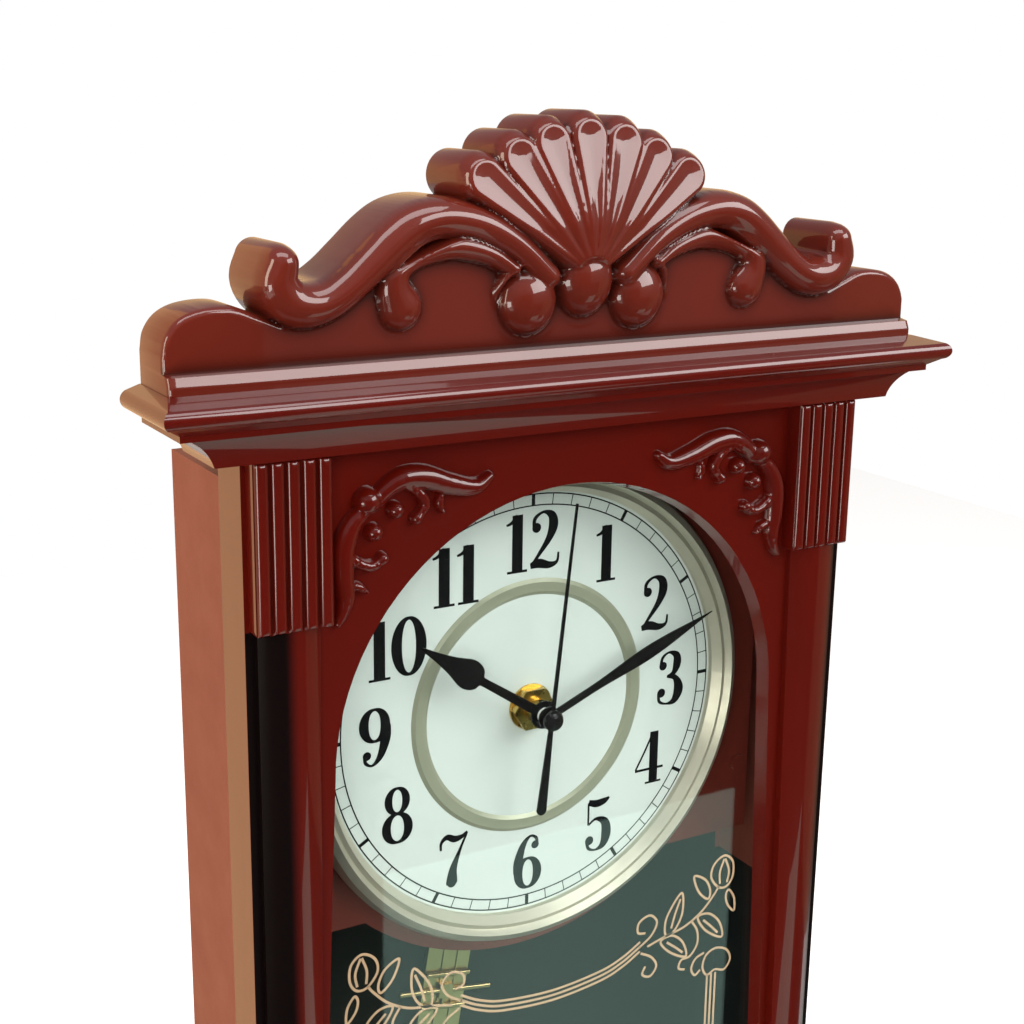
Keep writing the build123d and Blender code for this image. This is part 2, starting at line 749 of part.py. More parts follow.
third_x, third_z = polar(train_distance, third_angle)
setting_x, setting_z = polar(motion_distance, setting_angle)
intermediate_x, intermediate_z = polar(drive_distance, intermediate_angle)
rotor_x = intermediate_x + rotor_distance * cos(radians(rotor_angle))
rotor_z = intermediate_z + rotor_distance * sin(radians(rotor_angle))


def toothed(teeth, module, form, mesh_angle, tooth_there):
    """A toothed disc: straight flanks between a tip and a root circle.
    The tooth or gap that meshes lies at mesh_angle."""
    pitch_radius = module * teeth / 2
    step = 2 * pi / teeth
    start = radians(mesh_angle) + (0 if tooth_there else step / 2)
    tip_radius = pitch_radius + form["tip"] * module
    root_radius = pitch_radius - form["root"] * module
    tip_half = form["tip_share"] * pi * module / 2 / tip_radius
    root_half = form["root_share"] * pi * module / 2 / root_radius
    points = []
    for i in range(teeth):
        middle = start + i * step
        for radius, angle in ((root_radius, middle - root_half), (tip_radius, middle - tip_half),
                              (tip_radius, middle + tip_half), (root_radius, middle + root_half)):
            points.append((radius * cos(angle), radius * sin(angle)))
    return make_face(Polyline(*points, close=True))


def pair_module(pair, distance):
    return 2 * distance / (pair[0] + pair[1])


def pinion(pair, distance, mesh_angle):
    """Small leafed wheel of a pair, with a leaf towards its partner."""
    return toothed(pair[0], pair_module(pair, distance), pinion_form, mesh_angle, True)


def wheel(pair, distance, mesh_angle):
    """Large wheel of a pair, with a gap towards its partner."""
    return toothed(pair[1], pair_module(pair, distance), wheel_form, mesh_angle, False)


def toothed_disc(outline, x, z, y, thickness):
    return slab(Pos(x, z) * outline, y, y + thickness)


def arbor(x, z, y_front, y_back):
    """Round shaft with a thinner pivot at each end."""
    shaft = rod(arbor_radius, y_front, y_back, x, z)
    shaft += rod(pivot_radius, y_front - pivot_length, y_front, x, z)
    return shaft + rod(pivot_radius, y_back, y_back + pivot_length, x, z)


def centred(y, thickness):
    """Front depth of a pinion that is centred on a wheel's layer."""
    return y + (wheel_thickness - thickness) / 2


def second_wheel():
    y_end = inside_back_y - travel_clearance / 2
    solid = toothed_disc(wheel(intermediate_to_second_counts, drive_distance, intermediate_angle),
                         0, dial_height, second_wheel_y, wheel_thickness)
    solid += toothed_disc(pinion(second_to_third_counts, train_distance, third_angle),
                          0, dial_height, centred(third_wheel_y, pinion_length), pinion_length)
    solid += rod(second_shaft_radius, dial_y - second_hand_depth - hand_thickness, y_end)
    return solid + rod(pivot_radius, y_end, y_end + pivot_length)


def third_wheel():
    solid = toothed_disc(wheel(second_to_third_counts, train_distance, third_angle + 180),
                         third_x, third_z, third_wheel_y, wheel_thickness)
    solid += toothed_disc(pinion(third_to_minute_counts, train_distance, third_angle + 180),
                          third_x, third_z, centred(minute_wheel_y, pinion_length), pinion_length)
    return solid + arbor(third_x, third_z, inside_y + wheel_gap / 2, inside_back_y - wheel_gap / 2)


def minute_wheel():
    solid = toothed_disc(wheel(third_to_minute_counts, train_distance, third_angle),
                         0, dial_height, minute_wheel_y, wheel_thickness)
    pinion_y = centred(setting_wheel_y, wheel_thickness)
    solid += toothed_disc(pinion(minute_to_setting_counts, motion_distance, setting_angle),
                          0, dial_height, pinion_y, wheel_thickness + wheel_gap)
    back = minute_wheel_y + wheel_thickness
    solid += rod(minute_pipe_radius, dial_y - minute_hand_depth - hand_thickness, back)
    return solid - rod(second_shaft_radius + running_clearance, dial_y - second_hand_depth, back)


def hour_wheel():
    solid = toothed_disc(wheel(setting_to_hour_counts, motion_distance, setting_angle),
                         0, dial_height, hour_wheel_y, wheel_thickness)
    back = hour_wheel_y + wheel_thickness
    solid += rod(hour_pipe_radius, dial_y - hour_hand_depth - hand_thickness, back)
    return solid - rod(minute_pipe_radius + running_clearance, dial_y - second_hand_depth, back)


def setting_wheel():
    solid = toothed_disc(wheel(minute_to_setting_counts, motion_distance, setting_angle + 180),
                         setting_x, setting_z, setting_wheel_y, wheel_thickness)
    solid += toothed_disc(pinion(setting_to_hour_counts, motion_distance, setting_angle + 180),
                          setting_x, setting_z, hour_wheel_y, wheel_thickness + wheel_gap)
    solid += rod(arbor_radius, hour_wheel_y, movement_back_y + knob_height, setting_x, setting_z)
    return solid + rod(pivot_radius, hour_wheel_y - pivot_length, hour_wheel_y, setting_x, setting_z)


def setting_knob():
    """Many-sided knob on the setting arbor, reached from behind."""
    front = movement_back_y + travel_clearance / 2
    back = movement_back_y + knob_height
    outline = Pos(setting_x, setting_z) * RegularPolygon(knob_radius, knob_side_count)
    return slab(outline, front, back) - rod(arbor_radius, front, back, setting_x, setting_z)


def intermediate_wheel():
    solid = toothed_disc(wheel(rotor_to_intermediate_counts, rotor_distance, rotor_angle),
                         intermediate_x, intermediate_z, intermediate_wheel_y, wheel_thickness)
    pinion_y = centred(second_wheel_y, pinion_length)
    solid += toothed_disc(pinion(intermediate_to_second_counts, drive_distance, intermediate_angle + 180),
                          intermediate_x, intermediate_z, pinion_y, pinion_length)
    return solid + arbor(intermediate_x, intermediate_z, intermediate_front_y, inside_back_y - wheel_gap / 2)


def rotor():
    """Round magnet with the first pinion of the train."""
    back = inside_back_y - wheel_gap / 2
    solid = rod(rotor_radius, magnet_y, magnet_y + rotor_length, rotor_x, rotor_z)
    solid += toothed_disc(pinion(rotor_to_intermediate_counts, rotor_distance, rotor_angle + 180),
                          rotor_x, rotor_z, centred(intermediate_wheel_y, pinion_length), pinion_length)
    return solid + arbor(rotor_x, rotor_z, magnet_y - wheel_gap, back)


def bearing(x, z, y_shoulder, y_wall, forward):
    """Post on a housing wall with a blind hole for a pivot."""
    depth = pivot_length + fit_clearance
    hole_end = y_shoulder - depth if forward else y_shoulder + depth
    post_radius = 2 * arbor_radius + pivot_radius
    y0, y1 = sorted((y_shoulder + (-wheel_gap / 4 if forward else wheel_gap / 4), y_wall))
    post = rod(post_radius, y0, y1, x, z)
    hole = rod(pivot_radius + running_clearance, min(hole_end, y_shoulder), max(hole_end, y_shoulder), x, z)
    return post, hole


def movement_front():
    """Front half of the movement's housing, with the bearings of the train."""
    half = movement_half
    shell = brick(-half, half, movement_y, split_y, dial_height - half, dial_height + half)
    inner = half - movement_wall
    shell -= brick(-inner, inner, inside_y, split_y, dial_height - inner, dial_height + inner)
    posts = [(third_x, third_z, inside_y + wheel_gap / 2), (setting_x, setting_z, hour_wheel_y),
             (rotor_x, rotor_z, magnet_y - wheel_gap)]
    for x, z, shoulder in posts:
        post, hole = bearing(x, z, shoulder, inside_y, True)
        shell = shell + post - hole
    return shell - rod(bush_radius, movement_y, inside_y)


def movement_rear():
    """Rear half of the movement's housing, with the battery bay open to the back."""
    half = movement_half
    shell = brick(-half, half, split_y, movement_back_y, dial_height - half, dial_height + half)
    inner = half - movement_wall
    shell -= brick(-inner, inner, split_y, inside_back_y, dial_height - inner, dial_height + inner)
    bay_half = battery_length / 2 + battery_nub_length
    bay_z = dial_height - battery_drop
    shell -= brick(-bay_half, bay_half, inside_back_y, movement_back_y,
                   bay_z - battery_radius, bay_z + battery_radius)
    shelf = bay_z + battery_radius + travel_clearance
    shell += brick(-inner, inner, split_y, inside_back_y, shelf, shelf + movement_wall / 2)
    back = inside_back_y - wheel_gap / 2
    for x, z in ((third_x, third_z), (intermediate_x, intermediate_z), (rotor_x, rotor_z)):
        post, hole = bearing(x, z, back, inside_back_y, False)
        shell = shell + post - hole
    post, hole = bearing(0, dial_height, inside_back_y - travel_clearance / 2, inside_back_y, False)
    shell = shell + post - hole
    shell -= rod(arbor_radius + running_clearance, inside_back_y, movement_back_y, setting_x, setting_z)
    return shell - rod(lever_pin_radius, inside_back_y, movement_back_y, 0, pivot_z)


def hand_bush():
    """Threaded bush that clamps the movement to the dial and guides the hour pipe."""
    solid = rod(bush_radius, dial_y - bush_stand, inside_y)
    return solid - rod(hour_pipe_radius + running_clearance, dial_y - bush_stand, inside_y)


def gasket():
    return rod(gasket_radius, carrier_back_y, movement_y) - rod(bush_radius, carrier_back_y, movement_y)


def dial_washer():
    top_y = dial_y - washer_thickness
    return rod(washer_radius, top_y, dial_y) - rod(bush_radius, top_y, dial_y)


def dial_nut():
    front = dial_y - washer_thickness - nut_height
    back = dial_y - washer_thickness
    outline = Pos(0, dial_height) * RegularPolygon(nut_across_flats / 2, 6, major_radius=False)
    return slab(outline, front, back) - rod(bush_radius, front, back)


def coil():
    """Winding between two flanges, on an iron core that lies on the stator's arms."""
    y = stator_y + 1.5 * stator_thickness
    z = dial_height + coil_rise
    along = Pos(0, y, z) * Rot(0, 90, 0)
    solid = along * Cylinder(coil_radius, coil_length)
    flange = along * Cylinder(coil_radius + wheel_gap, wheel_thickness)
    for side in (-1, 1):
        solid += Pos(side * coil_length / 2, 0, 0) * flange
    core = coil_radius / 2
    return solid + brick(-coil_core_half, coil_core_half, y - stator_thickness / 2, y + stator_thickness / 2,
                         z - core, z + core)


def stator():
    """Iron plate that carries the coil's field round the rotor, with a bearing for the intermediate arbor."""
    z = dial_height + coil_rise
    back = stator_y + stator_thickness
    low = rotor_z - rotor_radius - 2 * wheel_gap
    plate = brick(-coil_core_half, coil_core_half, stator_y, back, low, z + coil_radius / 2)
    inner = coil_length / 2 + 2 * wheel_thickness
    plate -= brick(-inner, inner, stator_y, back, z - coil_radius - 2 * wheel_gap, z + coil_radius)
    tab = 3 * arbor_radius
    plate += brick(-tab, tab, stator_y, back, intermediate_z - tab, low + tab)
    plate -= rod(pivot_radius + running_clearance, stator_y, back, intermediate_x, intermediate_z)
    return plate - rod(rotor_radius + wheel_gap, stator_y, back, rotor_x, rotor_z)


def circuit_board():
    """Board with the quartz can and the chip's blob."""
    width, thick, tall = board_size
    y = inside_back_y - thick
    board = brick(board_x - width / 2, board_x + width / 2, y, inside_back_y,
                  dial_height - tall / 2 + movement_wall, dial_height + tall / 2 + movement_wall)
    can = Pos(board_x, y - thick / 2, dial_height) * Cylinder(thick, tall / 3)
    return board + can + rod(2 * thick, y - thick / 2, y, board_x, dial_height + tall / 3)


def battery():
    z = dial_height - battery_drop
    y = movement_back_y - battery_radius
    along = Pos(0, y, z) * Rot(0, 90, 0)
    nub = Pos(battery_length / 2, 0, 0) * along * Cylinder(battery_nub_radius, 2 * battery_nub_length)
    return along * Cylinder(battery_radius, battery_length) + nub


def battery_contacts():
    """Spring plate at each end of the battery."""
    z = dial_height - battery_drop
    y = movement_back_y - battery_radius
    left = -battery_length / 2
    right = battery_length / 2 + battery_nub_length
    half = battery_nub_radius + contact_thickness
    plates = [brick(left - contact_thickness, left, y - half, y + half, z - half, z + half),
              brick(right, right + contact_thickness, y - half, y + half, z - half, z + half)]
    return group(plates)


# Hands

def hand_plate(outline, angle, depth):
    """A flat hand drawn pointing up, turned clockwise to its angle."""
    y = dial_y - depth
    return slab(Pos(0, dial_height) * (Rot(0, 0, -angle) * outline), y - hand_thickness, y)


def leaf(root, middle, tip, half, stem_half):
    """Stem that swells into a pointed leaf."""
    right = [(stem_half, 0), (stem_half, root), (half, middle)]
    lines = [Line(right[0], right[1]),
             Spline(right[1], right[2], (0, tip), tangents=[(0, 1), (-half, tip - middle)])]
    mirrored = [mirror(line, Plane.YZ) for line in lines]
    return make_face([*lines, *mirrored, Line((-stem_half, 0), (stem_half, 0))])


def hour_hand():
    outline = leaf(hour_leaf_start, hour_leaf_middle, hour_hand_length, hour_leaf_half, hour_stem_half)
    outline += Circle(hour_hub_radius)
    outline -= Circle(hour_pipe_radius)
    return hand_plate(outline, hour_hand_angle, hour_hand_depth)


def minute_hand():
    outline = leaf(minute_leaf_start, minute_leaf_middle, minute_hand_length,
                   minute_leaf_half, minute_stem_half)
    outline += Circle(minute_hub_radius)
    outline -= Circle(minute_pipe_radius)
    return hand_plate(outline, minute_hand_angle, minute_hand_depth)


def second_hand():
    needle = Polyline((-second_tail_half, -second_tail_length), (second_tail_half, -second_tail_length),
                      (2 * second_tip_half, 0), (second_tip_half, second_hand_length),
                      (-second_tip_half, second_hand_length), (-2 * second_tip_half, 0), close=True)
    outline = make_face(needle) + Pos(0, -second_tail_length) * Circle(second_tail_half)
    outline += Circle(second_hub_radius)
    outline -= Circle(second_shaft_radius)
    return hand_plate(outline, second_hand_angle, second_hand_depth)


def second_hand_cap():
    """Domed cap on the end of the second hand's shaft."""
    back = dial_y - second_hand_depth - hand_thickness
    dome = [(cap_radius * size, back - cap_height * rise) for size, rise in cap_steps]
    return turned([(0, back), (cap_radius, back), *dome, (0, back - cap_height)])


# Pendulum

def swung(solid):
    """A pendulum piece, built hanging straight, turned to the angle that it rests at."""
    axis = Axis((0, pendulum_y, pivot_z), (0, 1, 0))
    return solid.rotate(axis, pendulum_rest_angle)


def pendulum_pivot():
    """Pin on the movement's back that the lever swings on."""
    front = movement_back_y - movement_wall
    back = pendulum_back_y + travel_clearance / 2
    pin = rod(lever_pin_radius, front, back, 0, pivot_z)
    return pin + rod(lever_pin_head, back, back + lever_thickness / 2, 0, pivot_z)


def pendulum_lever():
    """Lever with an eye for the pin and a magnet seat, carrying the rod on its foot."""
    foot = pivot_z - lever_length
    sketch = Pos(0, pivot_z) * Circle(lever_eye_radius)
    sketch += Pos(0, (pivot_z + foot) / 2) * Rectangle(lever_width, lever_length)
    lever = slab(sketch, pendulum_y, pendulum_back_y)
    lever -= rod(lever_pin_radius + running_clearance, pendulum_y, pendulum_back_y, 0, pivot_z)
    return swung(lever - magnet_disc())


def magnet_disc():
    """Small magnet sunk into the front of the lever, which also cuts its own seat."""
    radius = magnet_radius - wheel_gap
    return rod(radius, pendulum_y, pendulum_y + magnet_thickness, 0, pivot_z - magnet_drop)


def pendulum_magnet():
    return swung(magnet_disc())


def pendulum_rod():
    """Flat rod with two grooves, forked over the lever's foot and running down to the bob."""
    top = pivot_z - pendulum_rod_top
    foot = pivot_z - pendulum_length
    half = pendulum_rod_width / 2
    plate = brick(-half, half, pendulum_y, pendulum_back_y, foot, top)
    for side in (-1, 1):
        x = side * half / 3
        plate -= brick(x - pendulum_groove / 2, x + pendulum_groove / 2,
                       pendulum_y, pendulum_y + pendulum_groove_depth, foot, top)
    slot = lever_width / 2 + fit_clearance
    plate -= brick(-slot, slot, pendulum_y, pendulum_back_y, pivot_z - lever_length - fit_clearance, top)
    return swung(plate)


def pendulum_crossbars():
    """Long bar and two short bars across the rod, with a square hub."""
    y = pendulum_y - pendulum_bar_radius
    z = pivot_z - pendulum_bar_drop
    solid = Pos(0, y, z) * Rot(0, 90, 0) * Cylinder(pendulum_bar_radius, pendulum_bar_length)
    hub = pendulum_hub_side / 2
    solid += brick(-hub, hub, y - pendulum_bar_radius, pendulum_y, z - hub, z + hub)
    link = pendulum_bar_radius / 2
    solid += brick(-link, link, y, pendulum_y, z - pendulum_bar_spacing, z + pendulum_bar_spacing)
    for offset in (-pendulum_bar_spacing, pendulum_bar_spacing):
        bar = Rot(0, 90, 0) * Cylinder(pendulum_bar_radius, pendulum_short_bar_length)
        solid += Pos(0, y, z + offset) * bar
    return swung(solid)


def pendulum_bob():
    """Domed round bob in front of the rod's foot."""
    back = pendulum_y
    radius = pendulum_bob_radius
    height = pendulum_bob_height
    dome = [(radius * size, back - height * rise) for size, rise in pendulum_bob_steps]
    disc = turned([(0, back), (radius, back), *dome, (0, back - height)])
    return swung(Pos(0, 0, pivot_z - pendulum_length - dial_height) * disc)


os.makedirs("parts", exist_ok=True)
write("case_body", case_body())
write("front_frame", front_frame())
write("cornice", cornice())
write("base_moulding", base_moulding())
write("crest", crest())
for side, solid in zip(("right", "left"), both_sides(column())):
    write(f"{side}_column", solid)
for level, foot_z in (("upper", cornice_z - block_height), ("lower", base_height)):
    for side, solid in zip(("right", "left"), both_sides(reeded_block(foot_z))):
        write(f"{level}_{side}_block", solid)
for name, side in (("left", -1), ("right", 1)):
    write(f"{name}_spandrel_ornament", spandrel_ornament(side))
for make in (glass_pane, pane_clips, case_screws, carrier_screws,
             dial_carrier, dial, dial_bezel, dial_ring,
             movement_front, movement_rear, hand_bush, gasket, dial_washer, dial_nut,
             rotor, intermediate_wheel, second_wheel, third_wheel, minute_wheel, hour_wheel,
             setting_wheel, setting_knob, coil, stator, circuit_board, battery, battery_contacts,
             hour_hand, minute_hand, second_hand, second_hand_cap,
             pendulum_pivot, pendulum_lever, pendulum_magnet, pendulum_rod, pendulum_crossbars, pendulum_bob):
    write(make.__name__, make())
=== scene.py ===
import bpy
import json
import math
import numpy as np
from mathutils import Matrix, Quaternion, Vector


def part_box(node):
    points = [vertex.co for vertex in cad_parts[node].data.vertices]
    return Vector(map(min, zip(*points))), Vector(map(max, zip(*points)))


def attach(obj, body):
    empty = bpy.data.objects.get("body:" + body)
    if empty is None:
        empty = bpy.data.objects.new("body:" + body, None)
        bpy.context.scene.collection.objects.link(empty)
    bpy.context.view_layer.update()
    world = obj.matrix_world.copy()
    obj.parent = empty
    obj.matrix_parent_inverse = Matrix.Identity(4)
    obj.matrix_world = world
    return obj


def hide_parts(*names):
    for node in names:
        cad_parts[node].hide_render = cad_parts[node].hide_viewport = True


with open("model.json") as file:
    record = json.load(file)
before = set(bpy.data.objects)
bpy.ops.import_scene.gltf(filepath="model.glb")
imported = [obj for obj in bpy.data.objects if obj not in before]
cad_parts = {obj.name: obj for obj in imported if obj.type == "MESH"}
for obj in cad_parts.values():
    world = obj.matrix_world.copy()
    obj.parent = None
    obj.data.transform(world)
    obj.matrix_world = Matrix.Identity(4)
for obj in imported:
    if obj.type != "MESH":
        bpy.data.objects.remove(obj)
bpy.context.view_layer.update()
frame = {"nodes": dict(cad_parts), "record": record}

nodes = frame["nodes"]
mm = 0.001
print("frame loaded:", len(nodes), "nodes")

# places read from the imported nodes, in metres
dialLow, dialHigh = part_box("dial")
dialFace = dialLow.y
dialCentre = (dialLow + dialHigh) / 2
dialMiddle = np.array([dialCentre.x, dialCentre.z])
paneLow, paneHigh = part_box("glass_pane")
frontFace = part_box("front_frame")[0].y / mm  # of the frame, in mm


# shader nodes

def setInputs(tree, node, values):
    # an input is linked where its value is a socket, and set where it is a number, a vector or a colour
    for key, value in values.items():
        socket = node.inputs[key]
        if isinstance(value, bpy.types.NodeSocket):
            tree.links.new(value, socket)
        else:
            socket.default_value = (*value, 1) if socket.type == "RGBA" else value


def addNode(tree, kind, values=None, **settings):
    node = tree.nodes.new("ShaderNode" + kind)
    for name, value in settings.items():
        setattr(node, name, value)
    setInputs(tree, node, values or {})
    return node


def compute(tree, operation, *values):
    return addNode(tree, "Math", dict(enumerate(values)), operation=operation).outputs[0]


def mixColors(tree, share, first, second):
    values = {"Factor": share, "A": first, "B": second}
    return addNode(tree, "Mix", values, data_type="RGBA").outputs["Result"]


def smoothRamp(tree, value, start, stop, first=0.0, last=1.0):
    values = {"Value": value, "From Min": start, "From Max": stop, "To Min": first, "To Max": last}
    return addNode(tree, "MapRange", values, interpolation_type="SMOOTHSTEP").outputs["Result"]


def axesOf(tree, kind):
    return addNode(tree, "SeparateXYZ", {0: addNode(tree, "TexCoord").outputs[kind]}).outputs


def keepWhere(tree, mask, tests):
    # mask that stays only where every comparison holds
    for source, operation, limit in tests:
        mask = compute(tree, "MULTIPLY", mask, compute(tree, operation, source, limit))
    return mask


def newMaterial(name):
    material = bpy.data.materials.new(name)
    material.use_nodes = True
    return material, material.node_tree, material.node_tree.nodes["Principled BSDF"]


# shader groups, each built once

def newGroup(name, inputs, outputs):
    group = bpy.data.node_groups.new(name, "ShaderNodeTree")
    for way, sockets in (("INPUT", inputs), ("OUTPUT", outputs)):
        for label, kind in sockets.items():
            group.interface.new_socket(label, in_out=way, socket_type="NodeSocket" + kind)
    return group, group.nodes.new("NodeGroupInput").outputs, group.nodes.new("NodeGroupOutput")


# patches of a finish: detail and roughness of their noise, and where in it a surface is smoothest and roughest
mottleLook = dict(detail=6.0, rough=0.6, span=(0.3, 0.7))


def makeMottleGroup():
    # noise on Object coordinates, used to mix two colours and to vary a roughness
    group, given, end = newGroup("mottle", {
        "Color A": "Color", "Color B": "Color", "Scale": "Float", "Stretch": "Vector", "Rough Low": "Float",
        "Rough High": "Float"}, {"Color": "Color", "Roughness": "Float"})
    coord = addNode(group, "TexCoord").outputs["Object"]
    place = addNode(group, "VectorMath", {0: coord, 1: given["Stretch"]}, operation="MULTIPLY").outputs[0]
    noise = addNode(group, "TexNoise", {
        "Vector": place, "Scale": given["Scale"], "Detail": mottleLook["detail"],
        "Roughness": mottleLook["rough"]}).outputs["Fac"]
    color = mixColors(group, noise, given["Color A"], given["Color B"])
    first, last = mottleLook["span"]
    rough = addNode(group, "MapRange", {
        "Value": noise, "From Min": first, "From Max": last, "To Min": given["Rough Low"],
        "To Max": given["Rough High"]}).outputs["Result"]
    setInputs(group, end, {"Color": color, "Roughness": rough})
    return group


def makeGrainGroup():
    # fine surface height: a soft ripple mixed with a fine grain, both on Object coordinates
    group, given, end = newGroup("surfaceGrain", {
        "Ripple Scale": "Float", "Grain Scale": "Float", "Grain Share": "Float"}, {"Height": "Float"})
    coord = addNode(group, "TexCoord").outputs["Object"]
    ripple = addNode(group, "TexNoise", {"Vector": coord, "Scale": given["Ripple Scale"], "Detail": 1.0})
    grain = addNode(group, "TexNoise", {"Vector": coord, "Scale": given["Grain Scale"]})
    mix = addNode(group, "Mix", {
        "Factor": given["Grain Share"], "A": ripple.outputs["Fac"], "B": grain.outputs["Fac"]})
    setInputs(group, end, {"Height": mix.outputs["Result"]})
    return group


mottleGroup = makeMottleGroup()
grainGroup = makeGrainGroup()

# a finish: the record's slot that it is for, two colours, scale and stretch of their patches, roughness from
# and to, metallic, specular level and tint, coat, bump height in mm, scales of ripple and grain, the grain's
# share, and the colour of the painted shade in carved hollows
finishBase = dict(stretch=(1, 1, 1), metallic=0.0, shine=0.5, tint=(1, 1, 1), coat=0.0, coatRough=0.04,
                  bump=0.01, ripple=200, grain=2500, share=0.5, paintedHollowShade=None)
glossBase = dict(scale=30, stretch=(1, 1, 0.35), shine=0.1, rough=(0.3, 0.4), coat=1.0, bump=0.03, ripple=45,
                 grain=700, share=0.2, paintedHollowShade=(0.022, 0.003, 0.0015))
finishes = {
    "mahoganyGloss": dict(glossBase, slot="mahogany_gloss", a=(0.115, 0.0135, 0.007), b=(0.085, 0.0095, 0.0048)),
    # painted shade: the mahogany paint made darker for the frame, cornice, blocks and ornaments, which get less
    # light than the crest
    "frameGlossPaintedShade": dict(glossBase, a=(0.086, 0.004, 0.0016), b=(0.064, 0.0028, 0.0011)),
    "caseSatin": dict(slot="case_satin", a=(0.22, 0.062, 0.042), b=(0.19, 0.052, 0.035), scale=60,
        rough=(0.42, 0.52), shine=0.15, tint=(1, 0.88, 0.75), bump=0.06, ripple=120, grain=1500, share=0.6),
    "carrierMaroon": dict(slot="carrier_maroon", a=(0.15, 0.026, 0.017), b=(0.12, 0.02, 0.013), scale=50,
        rough=(0.3, 0.42), coat=0.1, bump=0.04, ripple=80, grain=900, share=0.4),
    "dialCard": dict(slot="dial_paper", a=(0.58, 0.63, 0.6), b=(0.55, 0.6, 0.57), scale=80, rough=(0.5, 0.6),
        share=0.7),
    "champagneMetal": dict(slot="champagne", a=(0.56, 0.53, 0.43), b=(0.5, 0.47, 0.38), scale=70,
        rough=(0.32, 0.4), metallic=0.7, grain=2000),
    "ringTint": dict(a=(0.33, 0.34, 0.255), b=(0.295, 0.305, 0.22), scale=70, rough=(0.3, 0.4), metallic=0.3,
        grain=2000),
    "turnedBrass": dict(slot="brass", a=(0.72, 0.5, 0.16), b=(0.6, 0.4, 0.11), scale=120, rough=(0.2, 0.34),
        metallic=1.0, ripple=300),
    "blackHands": dict(slot="black_hands", a=(0.006, 0.006, 0.006), b=(0.01, 0.009, 0.009), scale=90,
        rough=(0.12, 0.2), shine=0.35),
    "movementPlastic": dict(slot="movement_black", a=(0.018, 0.018, 0.019), b=(0.025, 0.025, 0.026), scale=80,
        rough=(0.45, 0.6), bump=0.05, grain=1800, share=0.7),
    "softRubber": dict(slot="rubber", a=(0.015, 0.015, 0.015), b=(0.02, 0.02, 0.02), scale=100, rough=(0.7, 0.85),
        bump=0.05, grain=1500, share=0.7),
    "platedSteel": dict(slot="steel", a=(0.55, 0.55, 0.57), b=(0.45, 0.45, 0.48), scale=150, rough=(0.25, 0.4),
        metallic=1.0, stretch=(1, 1, 6), ripple=300),
    "copperWinding": dict(slot="winding", a=(0.55, 0.2, 0.07), b=(0.42, 0.13, 0.04), scale=600, rough=(0.25, 0.4),
        metallic=0.9, stretch=(8, 1, 1), coat=0.3, bump=0.08, ripple=600, share=0.3),
    "boardGreen": dict(slot="board", a=(0.02, 0.11, 0.04), b=(0.015, 0.085, 0.03), scale=200, rough=(0.3, 0.45),
        coat=0.2, bump=0.02, ripple=300, grain=2000),
    "whiteNylon": dict(slot="white_nylon", a=(0.72, 0.72, 0.68), b=(0.66, 0.66, 0.62), scale=150,
        rough=(0.35, 0.5), bump=0.02, ripple=300, grain=2200),
    "batterySleeve": dict(slot="battery_wrap", a=(0.03, 0.03, 0.035), b=(0.045, 0.04, 0.04), scale=120,
        rough=(0.25, 0.35), coat=0.3, grain=2000),
    "pendulumGold": dict(slot="pendulum_gold", a=(0.52, 0.4, 0.19), b=(0.44, 0.33, 0.14), scale=90,
        rough=(0.27, 0.36), metallic=1.0, stretch=(1, 1, 0.5), bump=0.0015),
    "printInk": dict(a=(0.005, 0.005, 0.006), b=(0.008, 0.008, 0.008), scale=200, rough=(0.4, 0.55), shine=0.05,
        bump=0.005, ripple=300),
    "salmonPrint": dict(a=(0.62, 0.4, 0.25), b=(0.54, 0.34, 0.2), scale=150, rough=(0.3, 0.42), metallic=0.2,
        bump=0.005, ripple=300),
    "paneGlass": dict(slot="pane_glass", a=(0.95, 0.98, 0.97), b=(0.92, 0.96, 0.95), scale=12, rough=(0.0, 0.02),
        bump=None),
}


def makeFinish(name):
    # Principled surface: mottled colour and roughness, and a grain height through a Bump node
    look = {**finishBase, **finishes[name]}
    material, tree, shader = newMaterial(name)
    smoothest, roughest = look["rough"]
    patch = addNode(tree, "Group", {
        "Color A": look["a"], "Color B": look["b"], "Scale": look["scale"], "Stretch": look["stretch"],
        "Rough Low": smoothest, "Rough High": roughest}, node_tree=mottleGroup)
    color = patch.outputs["Color"]
    # painted shade: the colour turns dark in carved hollows, by how deep each lies, which reliefPiece stores
    if look["paintedHollowShade"]:
        carved = addNode(tree, "Attribute", attribute_name="paintedHollowShade")  # set by reliefPiece, nothing on other meshes
        color = mixColors(tree, carved.outputs["Fac"], color, look["paintedHollowShade"])
    if look["bump"]:
        grain = addNode(tree, "Group", {
            "Ripple Scale": look["ripple"], "Grain Scale": look["grain"], "Grain Share": look["share"]},
            node_tree=grainGroup)
        bump = addNode(tree, "Bump", {"Distance": look["bump"] * mm, "Height": grain.outputs["Height"]})
        setInputs(tree, shader, {"Normal": bump.outputs["Normal"]})
    setInputs(tree, shader, {
        "Base Color": color, "Roughness": patch.outputs["Roughness"], "Metallic": look["metallic"],
        "Specular IOR Level": look["shine"], "Specular Tint": look["tint"],
        "Coat Weight": look["coat"], "Coat Roughness": look["coatRough"]})
    return material


materials = {name: makeFinish(name) for name in finishes}


def darken(tree, shader, mask, dark):
    # base colour mixed towards a dark one by a mask, used for the painted reflection on the columns and the
    # painted shade inside the case
    color = shader.inputs["Base Color"].links[0].from_socket
    setInputs(tree, shader, {"Base Color": mixColors(tree, mask, color, dark)})


# painted dark reflection, a band along the columns' outer edges: X in mm where it is full and where it ends, and
# the frame's sides, which it spares
columnReflectionLook = dict(left=(-94.5, -90.0), right=(101.0, 96.5), side=103.9, dark=(0.004, 0.002, 0.002))


